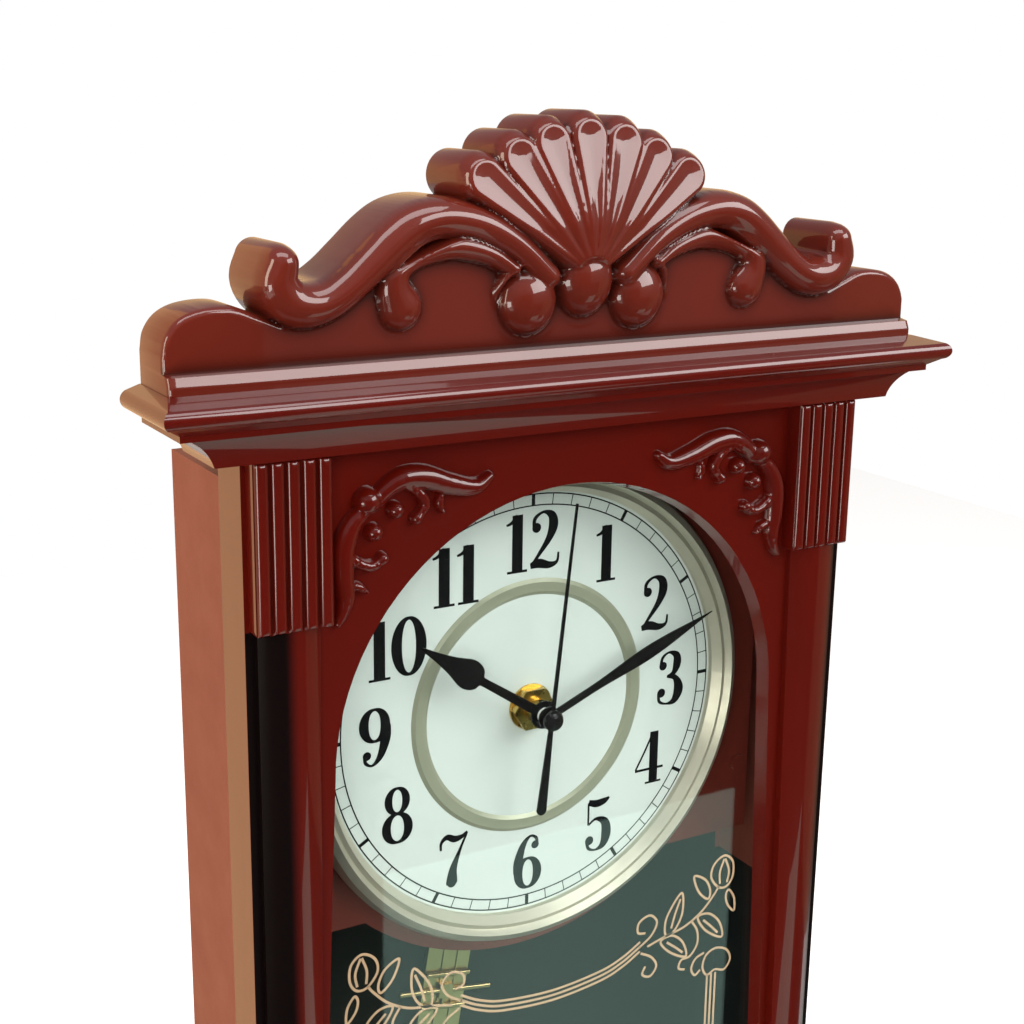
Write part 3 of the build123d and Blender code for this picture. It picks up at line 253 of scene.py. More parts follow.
def makeColumnFinish():
    # the frame's darker gloss with a painted dark reflection, a soft band along each column's outer edge, by ramps
    # on Object X
    material = makeFinish("frameGlossPaintedShade")
    material.name = "columnGlossPaintedReflection"
    tree = material.node_tree
    shader = tree.nodes["Principled BSDF"]
    axes = axesOf(tree, "Object")
    bands = [smoothRamp(tree, axes["X"], full * mm, clear * mm, 1.0, 0.0)
             for full, clear in (columnReflectionLook["left"], columnReflectionLook["right"])]
    low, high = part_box("left_column")
    mask = keepWhere(tree, compute(tree, "MAXIMUM", *bands), [
        (compute(tree, "ABSOLUTE", axes["X"]), "LESS_THAN", columnReflectionLook["side"] * mm),
        (axes["Z"], "GREATER_THAN", low.z), (axes["Z"], "LESS_THAN", high.z)])
    darken(tree, shader, mask, columnReflectionLook["dark"])
    # the painted reflection loses the coat, so no lamp shows on it
    coat = addNode(tree, "MapRange", {"Value": mask, "To Min": finishes["frameGlossPaintedShade"]["coat"], "To Max": 0.0})
    setInputs(tree, shader, {"Coat Weight": coat.outputs["Result"]})
    return material


materials["columnGlossPaintedReflection"] = makeColumnFinish()

# painted shade inside the case: the wall that keeps the outer colour, in mm, and the colour of the shade
insideShadeLook = dict(wall=2.3, dark=(0.012, 0.015, 0.014))


def paintCaseInside(material):
    # painted shade: inside the case the colour turns near black, by a box mask on Object coordinates, which spares
    # the right wall beside the dial's carrier
    tree = material.node_tree
    axes = axesOf(tree, "Object")
    low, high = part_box("case_body")
    wall = insideShadeLook["wall"] * mm
    apart = compute(tree, "LESS_THAN", axes["X"], high.x - 2 * wall)
    below = compute(tree, "LESS_THAN", axes["Z"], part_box("dial_carrier")[0].z)
    mask = keepWhere(tree, compute(tree, "MAXIMUM", apart, below), [
        (axes["X"], "GREATER_THAN", low.x + wall), (axes["X"], "LESS_THAN", high.x - wall),
        (axes["Y"], "LESS_THAN", high.y - wall),
        (axes["Z"], "GREATER_THAN", low.z + wall), (axes["Z"], "LESS_THAN", high.z - wall)])
    darken(tree, tree.nodes["Principled BSDF"], mask, insideShadeLook["dark"])


# glass: its refraction, and the shares of red, green and blue lamp light that it lets through
glassLook = dict(ior=1.5, through=(0.9, 0.93, 0.92))


def clearPane(material):
    # glass that lets lamp light through to what lies behind it
    tree = material.node_tree
    shader = tree.nodes["Principled BSDF"]
    setInputs(tree, shader, {"Transmission Weight": 1.0, "IOR": glassLook["ior"]})
    clear = addNode(tree, "BsdfTransparent", {"Color": glassLook["through"]})
    shadow = addNode(tree, "LightPath").outputs["Is Shadow Ray"]
    choose = addNode(tree, "MixShader", {0: shadow, 1: shader.outputs[0], 2: clear.outputs[0]})
    setInputs(tree, tree.nodes["Material Output"], {"Surface": choose.outputs[0]})


paintCaseInside(materials["caseSatin"])
clearPane(materials["paneGlass"])
print("materials made:", len(materials))

slotFinish = {look["slot"]: name for name, look in finishes.items() if "slot" in look}
# nodes whose finish differs from their slot's
nodeFinish = {"dial_ring": "ringTint", "carrier_screws": "carrierMaroon", "cornice": "frameGlossPaintedShade",
              "left_column": "columnGlossPaintedReflection", "right_column": "columnGlossPaintedReflection", "front_frame": "columnGlossPaintedReflection"}
blockNodes = [part["node"] for part in frame["record"]["subparts"] if part["node"].endswith("_block")]
nodeFinish.update(dict.fromkeys(blockNodes, "frameGlossPaintedShade"))
for part in frame["record"]["subparts"]:
    mesh = nodes[part["node"]].data
    mesh.materials.clear()
    mesh.materials.append(materials[nodeFinish.get(part["node"], slotFinish[part["material_slot"]])])
print("nodes dressed")


# mesh helpers

def addPiece(name, points, faces, finish, body, smooth=False):
    mesh = bpy.data.meshes.new(name)
    mesh.from_pydata(np.asarray(points).tolist(), [], [list(face) for face in faces])
    mesh.materials.append(materials[finish])
    if smooth:
        mesh.polygons.foreach_set("use_smooth", np.ones(len(mesh.polygons), bool))
    mesh.update()
    piece = bpy.data.objects.new(name, mesh)
    bpy.context.scene.collection.objects.link(piece)
    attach(piece, body)
    return piece


def fullTurn(count):
    return np.linspace(0, 2 * math.pi, count, endpoint=False)


def clockRay(degrees):
    # direction in x and z, clockwise from upright
    return np.array([math.sin(math.radians(degrees)), math.cos(math.radians(degrees))])


def smoothPath(points, count, closed=False):
    # Catmull-Rom curve through rows of numbers, sampled at count steps; extra columns such as width go along
    p = np.asarray(points, float)
    if closed:
        p = np.vstack([p[-1:], p, p[:2]])
    else:
        p = np.vstack([2 * p[:1] - p[1:2], p, 2 * p[-1:] - p[-2:-1]])
    segments = len(p) - 3
    t = np.linspace(0, segments, count, endpoint=not closed)
    i = np.minimum(t.astype(int), segments - 1)
    u = (t - i)[:, None]
    a, b, c, d = p[i], p[i + 1], p[i + 2], p[i + 3]
    return 0.5 * (2 * b + (c - a) * u + (2 * a - 5 * b + 4 * c - d) * u ** 2 + (3 * b - a - 3 * c + d) * u ** 3)


def gridFaces(rows, columns, closed=False):
    # quads between neighbouring rows of a grid, wrapped to the first row when closed
    r = np.arange(rows if closed else rows - 1)[:, None]
    c = np.arange(columns - 1)[None, :]
    after = (r + 1) % rows
    quads = np.stack([r * columns + c, r * columns + c + 1, after * columns + c + 1, after * columns + c], -1)
    return quads.reshape(-1, 4)


def ribbon(rows, closed=False):
    # flat strip: centre line x, y and half width, carried across by the line's normal
    rows = np.asarray(rows, float)
    line = rows[:, :2]
    if closed:
        along = np.roll(line, -1, 0) - np.roll(line, 1, 0)
    else:
        along = np.gradient(line, axis=0)
    along /= np.linalg.norm(along, axis=1, keepdims=True) + 1e-12
    across = np.stack([-along[:, 1], along[:, 0]], -1) * rows[:, 2:3]
    points = np.stack([line + across, line - across], 1).reshape(-1, 2)
    return points, gridFaces(len(rows), 2, closed)


def disc(x, y, radius, count=20):
    # flat round dot: triangles from its middle to a circle
    turn = fullTurn(count)
    rim = np.stack([x + radius * np.cos(turn), y + radius * np.sin(turn)], -1)
    ring = np.arange(count)
    faces = np.stack([np.zeros(count, int), 1 + ring, 1 + (ring + 1) % count], -1)
    return np.vstack([[x, y], rim]), faces


# print: its height above the face, and the step between strokes that cross, in mm
printLook = dict(height=0.05, layer=0.008)


def layPrint(name, shapes, depth, finish):
    # flat shapes drawn in X and Z, each with its layer, laid on a face as one mesh
    points, faces, count = [], [], 0
    for (flat, cells), layer in shapes:
        deep = depth - printLook["height"] * mm - layer * printLook["layer"] * mm
        points.append(np.insert(flat, 1, deep, axis=1))
        faces += (np.asarray(cells) + count).tolist()
        count += len(flat)
    addPiece(name, np.vstack(points), faces, finish, "case")


# dial numerals: radius of their ring and height in mm, and the gap between two digits as a share of the height
numeralLook = dict(ring=54.5, height=19.0, gap=0.02, ringSteps=48, swell=1.4, strokeSteps=10)

# each digit in a box one unit high: strokes as rows of x, y and half width, and dots as x, y, radius
digits = {
    "0": dict(wide=0.62, rings=[((0.31, 0.5), (0.22, 0.47), (0.095, 0.028))]),
    "1": dict(wide=0.42, strokes=[
        [(0.23, 0.04, 0.1), (0.23, 0.5, 0.1), (0.23, 0.98, 0.1)],
        [(0.02, 0.82, 0.02), (0.12, 0.86, 0.03), (0.23, 0.97, 0.035)],
        [(0.04, 0.02, 0.022), (0.42, 0.02, 0.022)]]),
    "2": dict(wide=0.6, dots=[(0.15, 0.72, 0.085)], strokes=[
        [(0.1, 0.7, 0.03), (0.12, 0.88, 0.035), (0.28, 0.975, 0.025), (0.44, 0.9, 0.075), (0.47, 0.72, 0.09),
         (0.38, 0.5, 0.06), (0.2, 0.26, 0.035), (0.06, 0.08, 0.025)],
        [(0.04, 0.08, 0.05), (0.2, 0.11, 0.08), (0.4, 0.06, 0.06), (0.55, 0.1, 0.03), (0.58, 0.26, 0.02)]]),
    "3": dict(wide=0.6, dots=[(0.15, 0.74, 0.08), (0.13, 0.24, 0.085)], strokes=[
        [(0.1, 0.74, 0.03), (0.14, 0.9, 0.03), (0.28, 0.975, 0.025), (0.43, 0.9, 0.07), (0.45, 0.74, 0.085),
         (0.38, 0.58, 0.05), (0.24, 0.53, 0.02)],
        [(0.24, 0.53, 0.02), (0.42, 0.48, 0.055), (0.5, 0.27, 0.1), (0.42, 0.07, 0.07), (0.26, 0.02, 0.022),
         (0.1, 0.08, 0.03), (0.07, 0.24, 0.03)]]),
    "4": dict(wide=0.62, strokes=[
        [(0.41, 0.04, 0.09), (0.41, 0.5, 0.09), (0.41, 0.98, 0.09)],
        [(0.38, 0.96, 0.02), (0.22, 0.64, 0.02), (0.03, 0.3, 0.02)],
        [(0.02, 0.28, 0.024), (0.62, 0.28, 0.024)], [(0.24, 0.02, 0.02), (0.58, 0.02, 0.02)]]),
    "5": dict(wide=0.6, dots=[(0.13, 0.22, 0.085)], strokes=[
        [(0.1, 0.95, 0.05), (0.26, 0.9, 0.07), (0.42, 0.92, 0.06), (0.53, 0.97, 0.02)],
        [(0.1, 0.94, 0.02), (0.1, 0.75, 0.02), (0.1, 0.52, 0.02)],
        [(0.1, 0.52, 0.02), (0.26, 0.61, 0.03), (0.44, 0.52, 0.08), (0.48, 0.3, 0.1), (0.42, 0.1, 0.07),
         (0.27, 0.02, 0.022), (0.12, 0.07, 0.03), (0.07, 0.22, 0.03)]]),
    "6": dict(wide=0.62, rings=[((0.32, 0.3), (0.19, 0.27), (0.085, 0.024))], dots=[(0.46, 0.8, 0.075)], strokes=[
        [(0.12, 0.32, 0.09), (0.13, 0.55, 0.09), (0.22, 0.83, 0.06), (0.36, 0.975, 0.024), (0.48, 0.92, 0.03),
         (0.5, 0.8, 0.03)]]),
    "7": dict(wide=0.58, dots=[(0.25, 0.09, 0.085)], strokes=[
        [(0.04, 0.72, 0.02), (0.05, 0.86, 0.03), (0.16, 0.94, 0.05), (0.3, 0.88, 0.06), (0.44, 0.9, 0.04),
         (0.54, 0.97, 0.02)],
        [(0.54, 0.96, 0.02), (0.4, 0.66, 0.03), (0.28, 0.36, 0.07), (0.25, 0.12, 0.105), (0.25, 0.06, 0.09)]]),
    "8": dict(wide=0.6, rings=[
        ((0.3, 0.75), (0.16, 0.22), (0.07, 0.024)), ((0.3, 0.27), (0.2, 0.25), (0.08, 0.024))]),
}


def digitShapes(symbol):
    # strokes as ribbons along smooth lines, rings as ellipses that are wide at the sides and thin at top and
    # bottom, and dots; a nine is a six turned half round in its box
    look = digits["6" if symbol == "9" else symbol]
    shapes = []
    for stroke in look.get("strokes", []):
        straight = len(stroke) == 2
        shapes.append(ribbon(stroke if straight else smoothPath(stroke, numeralLook["strokeSteps"] * len(stroke))))
    turn = fullTurn(numeralLook["ringSteps"])
    for (x, y), (rx, ry), (side, top) in look.get("rings", []):
        half = top + (side - top) * np.abs(np.cos(turn)) ** numeralLook["swell"]
        shapes.append(ribbon(np.stack([x + rx * np.cos(turn), y + ry * np.sin(turn), half], -1), closed=True))
    shapes += [disc(*dot) for dot in look.get("dots", [])]
    if symbol == "9":
        shapes = [(np.array([look["wide"], 1.0]) - points, faces) for points, faces in shapes]
    return shapes, look["wide"]


def printNumerals():
    # upright numerals, each centred where its hour's direction meets the ring
    sheet = []
    unit, ring, gap = numeralLook["height"] * mm, numeralLook["ring"] * mm, numeralLook["gap"]
    for hour in range(1, 13):
        centre = dialMiddle + ring * clockRay(30 * hour)
        drawn = [digitShapes(symbol) for symbol in str(hour)]
        x = -(sum(wide for _, wide in drawn) + gap * (len(drawn) - 1)) / 2
        for shapes, wide in drawn:
            for layer, (points, faces) in enumerate(shapes):
                sheet.append((((points + [x, -0.5]) * unit + centre, faces), layer))
            x += wide + gap
    layPrint("dialNumerals", sheet, dialFace, "printInk")


# minute track: radii of its circles and half widths of circles and ticks, in mm
trackLook = dict(outer=69.6, inner=66.0, line=0.22, tick=0.16, boldTick=0.62, steps=180)


def printTrack():
    # two circles with a tick for each minute and a bold one for each five minutes
    sheet = []
    turn = fullTurn(trackLook["steps"])
    for radius in (trackLook["outer"] * mm, trackLook["inner"] * mm):
        circle = dialMiddle + radius * np.stack([np.sin(turn), np.cos(turn)], -1)
        sheet.append((ribbon(np.insert(circle, 2, trackLook["line"] * mm, axis=1), closed=True), 0))
    for minute in range(60):
        half = trackLook["boldTick"] if minute % 5 == 0 else trackLook["tick"]
        ends = [np.append(dialMiddle + clockRay(6 * minute) * trackLook[end] * mm, half * mm)
                for end in ("inner", "outer")]
        sheet.append((ribbon(ends), 1))
    layPrint("minuteTrack", sheet, dialFace, "printInk")


printNumerals()
printTrack()
print("dial printed")

# hour hand: distance and half width along its blade, and its hub's and hole's radii, in mm
handLook = dict(hub=4.6, hole=2.5, lift=0.02, steps=90, turns=48, blade=[
    (4.2, 1.6), (12, 1.5), (20, 1.4), (26.4, 1.35), (27.3, 1.7), (28, 3), (29.3, 4), (31, 4.6), (32.6, 4.75),
    (34.4, 4.45), (36.6, 3.7), (39.4, 2.8), (43, 1.95), (47, 1.2), (50.4, 0.7), (52, 0.3)])


def shapeHourHand():
    # flat spade: four corners carried along the blade's middle line, and a ring of four edges for its hub
    low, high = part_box("hour_hand")
    places = np.empty(len(nodes["hour_hand"].data.vertices) * 3)
    nodes["hour_hand"].data.vertices.foreach_get("co", places)
    flat = places.reshape(-1, 3)[:, [0, 2]] - dialMiddle
    tip = flat[np.hypot(*flat.T).argmax()]
    way = tip / np.hypot(*tip)
    rows = smoothPath(handLook["blade"], handLook["steps"]) * mm
    line = rows[:, :1] * way
    across = rows[:, 1:] * [-way[1], way[0]]
    lift = handLook["lift"] * mm
    corners = ((1, low.y + lift), (-1, low.y + lift), (-1, high.y - lift), (1, high.y - lift))
    blade = np.stack([np.insert(line + side * across, 1, depth, axis=1) for side, depth in corners], 1)
    i, k = np.arange(len(rows) - 1)[:, None] * 4, np.arange(4)
    after = (k + 1) % 4
    bladeFaces = np.stack([i + after, i + 4 + after, i + 4 + k, i + k], -1).reshape(-1, 4)
    caps = np.stack([[3, 2, 1, 0], np.arange(4) + 4 * (len(rows) - 1)])
    count = handLook["turns"]
    turn = fullTurn(count)
    outer, inner = handLook["hub"] * mm, handLook["hole"] * mm
    edges = ((outer, low.y), (outer, high.y), (inner, high.y), (inner, low.y))
    hub = np.stack([np.stack([radius * np.cos(turn), np.full(count, depth), radius * np.sin(turn)], -1)
                    for radius, depth in edges], 1)
    here = np.arange(count)[:, None]
    j, following = here * 4, (here + 1) % count * 4
    hubFaces = np.stack([j + k, j + after, following + after, following + k], -1).reshape(-1, 4) + blade.size // 3
    points = np.vstack([blade.reshape(-1, 3), hub.reshape(-1, 3)]) + [dialCentre.x, 0, dialCentre.z]
    faces = np.vstack([bladeFaces, caps, hubFaces])
    piece = addPiece("hourHandSpade", points, faces, "blackHands", "hour")
    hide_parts("hour_hand")


shapeHourHand()
print("hour hand shaped")

# pendulum bob: shares of its radius and of its height, from the middle to the rim, and the angle of a sharp edge
bobLook = dict(dome=[(0.0, 1.0), (0.12, 0.995), (0.45, 0.9), (0.8, 0.62), (0.92, 0.42), (1.0, 0.2), (1.0, 0.0)],
               steps=40, turns=96, sharp=50)


def shapeBob():
    # smooth dome: a profile from its middle over the rim to the flat back, turned about the depth axis
    low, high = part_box("pendulum_bob")
    middle = (low + high) / 2
    profile = np.vstack([smoothPath(bobLook["dome"][:-1], bobLook["steps"]), bobLook["dome"][-1:]])
    count = bobLook["turns"]
    turn = fullTurn(count)[:, None]
    radius = (high.x - low.x) / 2 * np.clip(profile[1:, 0], 0, 1)
    depth = high.y - (high.y - low.y) * np.clip(profile[1:, 1], 0, 1)
    rings = np.stack([middle.x + radius * np.cos(turn), np.broadcast_to(depth, (count, len(depth))),
                      middle.z + radius * np.sin(turn)], -1)
    size = len(depth)
    points = np.vstack([rings.reshape(-1, 3), [middle.x, low.y, middle.z], [middle.x, high.y, middle.z]])
    start = np.arange(count) * size
    after = np.roll(start, -1)
    front = np.stack([np.full(count, count * size), start, after], -1)
    rear = np.stack([np.full(count, count * size + 1), after + size - 1, start + size - 1], -1)
    faces = gridFaces(count, size, True).tolist() + front.tolist() + rear.tolist()
    piece = addPiece("bobDome", points, faces, "pendulumGold", "pendulum", smooth=True)
    piece.data.set_sharp_from_angle(angle=math.radians(bobLook["sharp"]))
    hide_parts("pendulum_bob")


shapeBob()
print("bob shaped")

# pane print, in mm: half width of its lines, spacing of the triple lines, distance behind the glass, height of
# the band's bend, the swag, and the right half of the rest, x from the middle and z from the clock's foot
paneLook = dict(line=0.42, spacing=1.75, behind=0.1, bandBend=14, longSteps=60, openSteps=10, closedSteps=12)
swagLine = [(-34, 239), (-27, 235.2), (-18, 232.5), (0, 230.9), (18, 232.5), (27, 235.2), (34, 239)]
bandLine = [(64.5, 220.5), (64.5, 180), (64.5, 140), (64.3, 112), (61, 103), (52, 99), (25, 98.5), (0, 98.5)]
openLines = [
    [(33.5, 238.6), (38.5, 242), (40.6, 246.4), (37.6, 249.6), (33.4, 248), (33, 244.4), (36, 243.4)],
    [(37, 238.2), (44, 240), (52, 241.6), (59, 245.4), (64, 250.4), (66, 253.2)],
    [(66.4, 254), (66.2, 258.4), (67.8, 263)],
    [(69.4, 253.8), (70, 258.2), (68.2, 263)],
    [(46.6, 242.4), (48, 247.4), (50, 252.4)],
    [(45, 237.6), (48.6, 234.8), (51.8, 232)],
    [(60, 242), (63.4, 238.8), (66.4, 235.6)],
    [(55, 243), (57.6, 238.6), (57.8, 233.6), (55, 229.8), (51.4, 229.2), (50.4, 226.4), (53, 225.2)],
    [(61, 229.4), (57.4, 228), (55.8, 224.6), (57.4, 221.8), (59.6, 223.2)],
    [(34.4, 236.4), (38.8, 233.8), (41, 230), (38.6, 226.8), (35.4, 228.2), (36.4, 231)],
]
closedLines = [
    [(66, 252.8), (62.6, 257.2), (63.6, 261.8), (67.8, 264.2), (71.4, 261.4), (71.8, 256), (69.6, 252.6)],
    [(44.4, 240.6), (44.6, 247), (50.3, 254.6), (51, 247.2), (48, 241.4)],
    [(42.4, 238.4), (46.6, 233.4), (53.2, 230.2), (51.6, 236), (47, 239.6)],
    [(57.6, 243.6), (61.4, 237.6), (68.2, 233.6), (67, 239.4), (62.4, 243.8)],
    [(61.4, 249.6), (57.4, 253.4), (55.4, 259.4), (60.2, 257), (62.4, 252.4)],
    [(70.4, 250.8), (72.8, 247.2), (73, 242.4), (70.2, 245.2), (69.2, 248.8)],
    [(60.6, 224), (62, 228.2), (66, 229.8), (70.6, 228), (72.4, 224), (70, 220.6), (66, 221.6),
     (62.6, 220.4)],
]


def printPane():
    # outlines as thin ribbons along smooth lines, mirrored to both sides, on the back of the glass
    sheet = []
    half = paneLook["line"] * mm

    def draw(line, count, closed=False):
        path = smoothPath(np.asarray(line) * mm, count, closed)
        sheet.append((ribbon(np.insert(path, 2, half, axis=1), closed), 0))

    # share of the spacing that goes sideways: all on the band's upright part, none along its foot
    foot = bandLine[-1][1]
    upright = [min(1.0, abs(z - foot) / paneLook["bandBend"]) for _, z in bandLine]
    for step in (-1, 0, 1):
        lift = step * paneLook["spacing"]
        draw([(x, z + lift) for x, z in swagLine], paneLook["longSteps"])
        for side in (-1, 1):
            draw([(side * (x + lift * share), z - lift * (1 - share)) for (x, z), share in zip(bandLine, upright)],
                 paneLook["longSteps"])
    for side in (-1, 1):
        for line in openLines:
            draw([(side * x, z) for x, z in line], paneLook["openSteps"] * len(line))
        for line in closedLines:
            draw([(side * x, z) for x, z in line], paneLook["closedSteps"] * len(line), True)
    layPrint("panePrint", sheet, paneHigh.y + paneLook["behind"] * mm, "salmonPrint")


printPane()
print("pane printed")


# carved reliefs

def over(values):
    # the part above nothing
    return np.clip(values, 0, None)


def strokeField(x, z, rows):
    # nearest point of a tapering line given as x, z and half width: distance over half width, and that half width
    start, step = rows[:-1], np.diff(rows, axis=0)
    dx, dz = x[..., None] - start[:, 0], z[..., None] - start[:, 1]
    along = np.clip((dx * step[:, 0] + dz * step[:, 1]) / (step[:, 0] ** 2 + step[:, 1] ** 2), 0, 1)
    half = start[:, 2] + along * step[:, 2]
    share = np.hypot(dx - along * step[:, 0], dz - along * step[:, 1]) / half
    best = share.argmin(-1)[..., None]
    return np.take_along_axis(share, best, -1)[..., 0], np.take_along_axis(half, best, -1)[..., 0]


def softMax(values, blend):
    # largest of several height fields, with a small fillet where they meet
    values = np.stack(values)
    top = values.max(0)
    return top + blend * np.log(np.exp((values - top) / blend).sum(0))


def domed(share):
    # half ellipse over a stroke or egg: one in the middle, nothing at the edge
    return np.sqrt(over(1 - share ** 2))


def roundedEdge(inside, radius):
    # drop of a quarter round along an edge, from the distance inside it
    gap = np.clip(radius - inside, 0, radius)
    return radius - np.sqrt(over(radius ** 2 - gap ** 2))


# reliefs: probe for the outline's slope in mm, rounds of sliding the rim, and the angle of a sharp edge
reliefLook = dict(probe=0.05, rounds=4, sharp=48)
# painted shade in hollows: averaging reach and the depth at which it is full, in mm, and its greatest share
hollowShadeLook = dict(reach=2.4, depth=1.5, share=0.85)


def softened(field, step):
    # field averaged over a square, by differences of running sums along each direction, twice
    for axis in (0, 1, 0, 1):
        half = max(1, int(round(hollowShadeLook["reach"] / step[1 - axis])))
        span = 2 * half + 1
        pad = [(half + 1, half) if axis == way else (0, 0) for way in (0, 1)]
        sums = np.cumsum(np.pad(field, pad, mode="edge"), axis)
        at = np.arange(field.shape[axis])
        field = (np.take(sums, at + span, axis) - np.take(sums, at, axis)) / span
    return field


def reliefPiece(name, region, step, outline, height, backHeight, place, finish, node):
    # grid in x and z kept inside an outline, its rim vertices slid onto that outline;
    # the front lies at height(x, z) and the back at backHeight(x, z), both in mm towards the viewer
    x0, x1, z0, z1 = region
    columns, rows = int(round((x1 - x0) / step[0])) + 1, int(round((z1 - z0) / step[1])) + 1
    x, z = np.meshgrid(np.linspace(x0, x1, columns), np.linspace(z0, z1, rows))
    kept = outline((x[:-1, :-1] + x[1:, 1:]) / 2, (z[:-1, :-1] + z[1:, 1:]) / 2) < 0
    # cells that touch only by a corner get a neighbour
    a, b, c, d = kept[:-1, :-1], kept[:-1, 1:], kept[1:, :-1], kept[1:, 1:]
    falling, rising = a & d & ~b & ~c, b & c & ~a & ~d
    kept[:-1, 1:] |= falling
    kept[:-1, :-1] |= rising
    index = np.arange(rows * columns).reshape(rows, columns)
    corners = np.stack([index[:-1, :-1], index[:-1, 1:], index[1:, 1:], index[1:, :-1]], -1)
    quads = corners[kept]
    # edges of one cell only make the rim
    edges = np.concatenate([quads[:, [i, (i + 1) % 4]] for i in range(4)])
    key = np.sort(edges, 1) @ np.array([rows * columns, 1])
    _, first, count = np.unique(key, return_index=True, return_counts=True)
    rim = edges[first[count == 1]]
    level = height(x, z)
    # painted shade: how far each place lies below its averaged surroundings, as the share of the dark colour
    hollow = np.clip((softened(level, step) - level) / hollowShadeLook["depth"], 0, 1) * hollowShadeLook["share"]
    x, z, hollow = x.ravel(), z.ravel(), hollow.ravel()
    edge = np.unique(rim)
    hollow[edge] = 0
    probe = reliefLook["probe"]
    for _ in range(reliefLook["rounds"]):
        px, pz = x[edge], z[edge]
        value = outline(px, pz)
        gx = (outline(px + probe, pz) - outline(px - probe, pz)) / (2 * probe)
        gz = (outline(px, pz + probe) - outline(px, pz - probe)) / (2 * probe)
        push = np.clip(value, -max(step), max(step)) / (gx ** 2 + gz ** 2 + 1e-6)
        x[edge], z[edge] = px - push * gx, pz - push * gz
    used = np.unique(quads)
    total = len(used)
    number = np.full(rows * columns, -1)
    number[used] = np.arange(total)
    ux, uz = x[used], z[used]
    front = np.stack([ux, -height(ux, uz), uz], -1)
    back = np.stack([ux, -backHeight(ux, uz), uz], -1)
    face, wall = number[quads], number[rim]
    walls = np.stack([wall[:, 1], wall[:, 0], wall[:, 0] + total, wall[:, 1] + total], -1)
    points = (np.vstack([front, back]) + np.asarray(place)) * mm
    faces = np.vstack([face, face[:, ::-1] + total, walls])
    piece = addPiece(name, points, faces, finish, "case", smooth=True)
    piece.data.set_sharp_from_angle(angle=math.radians(reliefLook["sharp"]))
    # the painted shade is stored on the front's points; the back's points get none
    paintedHollowShade = piece.data.attributes.new("paintedHollowShade", "FLOAT", "POINT")
    paintedHollowShade.data.foreach_set("value", np.concatenate([hollow[used], np.zeros(total)]).astype(np.float32))
    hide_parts(node)


# crest: heights above the cornice and reach in front of the frame's face, in mm; a fall is the slope beyond a
# form's edge, and a sink is how far below the panel the form starts
crestLook = dict(
    region=(-125.4, 125.4, 0, 70.2), step=(0.5, 0.5),
    halfWidth=124.2, panel=1.5, back=-16.5, wall=3, hollowSlope=0.7, rim=1.8, blend=0.5,
    shoulder=[(124.2, 9), (123.2, 14), (119.8, 18.3), (114, 20.7), (105.4, 21.1), (98, 18.5), (92, 16)],
    shoulderSteps=40, neckRise=0.42,
    scroll=[(92.4, 31.6, 5.2), (93.2, 26.4, 6), (90.2, 22, 6.3), (85, 20.6, 6.2), (79, 21.8, 5.6),
            (73, 25.6, 5.4), (66.5, 31, 5.6), (60, 36.6, 5.8), (54, 40.4, 5.8), (46.5, 42, 5.6),
            (38, 41, 5.3), (30, 38, 5), (22, 33, 4.6), (13, 25, 4.2)],
    scrollReach=8,
    curl=[(58, 18.6, 6.3), (60.2, 23.5, 5), (59.8, 28, 4.6), (56.2, 31.6, 4.5), (49, 34, 4.4),
          (40, 34.2, 3.9), (31, 31.6, 3.2), (24, 27.4, 2.4)],
    curlReach=6.4, strokeSink=0.6, strokeFall=3, strokeSteps=70,
    eggs=[(0, 23.7, 9.4, 11, 9), (-18.4, 18.4, 9.3, 10, 8), (18.4, 18.4, 9.3, 10, 8)],
    eggSink=1, eggFall=20, hood=1.5, hoodReach=5.6, hoodAt=1.1, hoodStart=0.3, hoodSink=2, hoodFall=2,
    shellFoot=25, lobes=[(0, 45.2), (18, 45.6), (34.4, 46.8), (51, 50.4)], tip=7.2, root=3, rootStart=6,
    shellReach=9.4, shellFall=0.4, shellLean=0.2, leanStart=38, leanBend=3, lobeRim=1.6, lobeInset=1.3,
    lobeFall=1.3, lobePower=1.3, dish=0.5, dishLeast=0.6, dishPower=0.8,
    footHeight=4.6, footStart=2.1, footReach=5.6, footFall=1.15, footCliff=9, endHeight=6, endMost=9,
)


def lobeField(x, z, angle, length):
    # signed distance to a lobe, the hull of a small root circle and a large tip circle, and the share along it
    foot, start, root, tip = (crestLook[key] for key in ("shellFoot", "rootStart", "root", "tip"))
    ray = clockRay(angle)
    u = x * ray[0] + (z - foot) * ray[1]
    v = np.abs(x * ray[1] - (z - foot) * ray[0])
    span = length - tip - start
    lean = (root - tip) / span
    level = math.sqrt(1 - lean ** 2)
    across = (u - start) * lean + v * level - root
    t = (u - start) * level - v * lean
    near = np.hypot(u - start, v) - root
    far = np.hypot(u - (length - tip), v) - tip
    distance = np.where(t < 0, near, np.where(t > span * level, far, across))
    return distance, np.clip(u / length, 0, 1)


# every lobe's angle, length and rank, counted from the middle
lobeList = [(sign * angle, length, rank) for rank, (angle, length) in enumerate(crestLook["lobes"])
            for sign in ((1,) if rank == 0 else (1, -1))]
crestStrokes = {name: smoothPath(crestLook[name], crestLook["strokeSteps"]) for name in ("scroll", "curl")}
crestShoulder = smoothPath(crestLook["shoulder"], crestLook["shoulderSteps"])
crestShoulder = crestShoulder[np.argsort(crestShoulder[:, 0])]
shoulderSlope = np.hypot(1.0, np.gradient(crestShoulder[:, 1], crestShoulder[:, 0]))


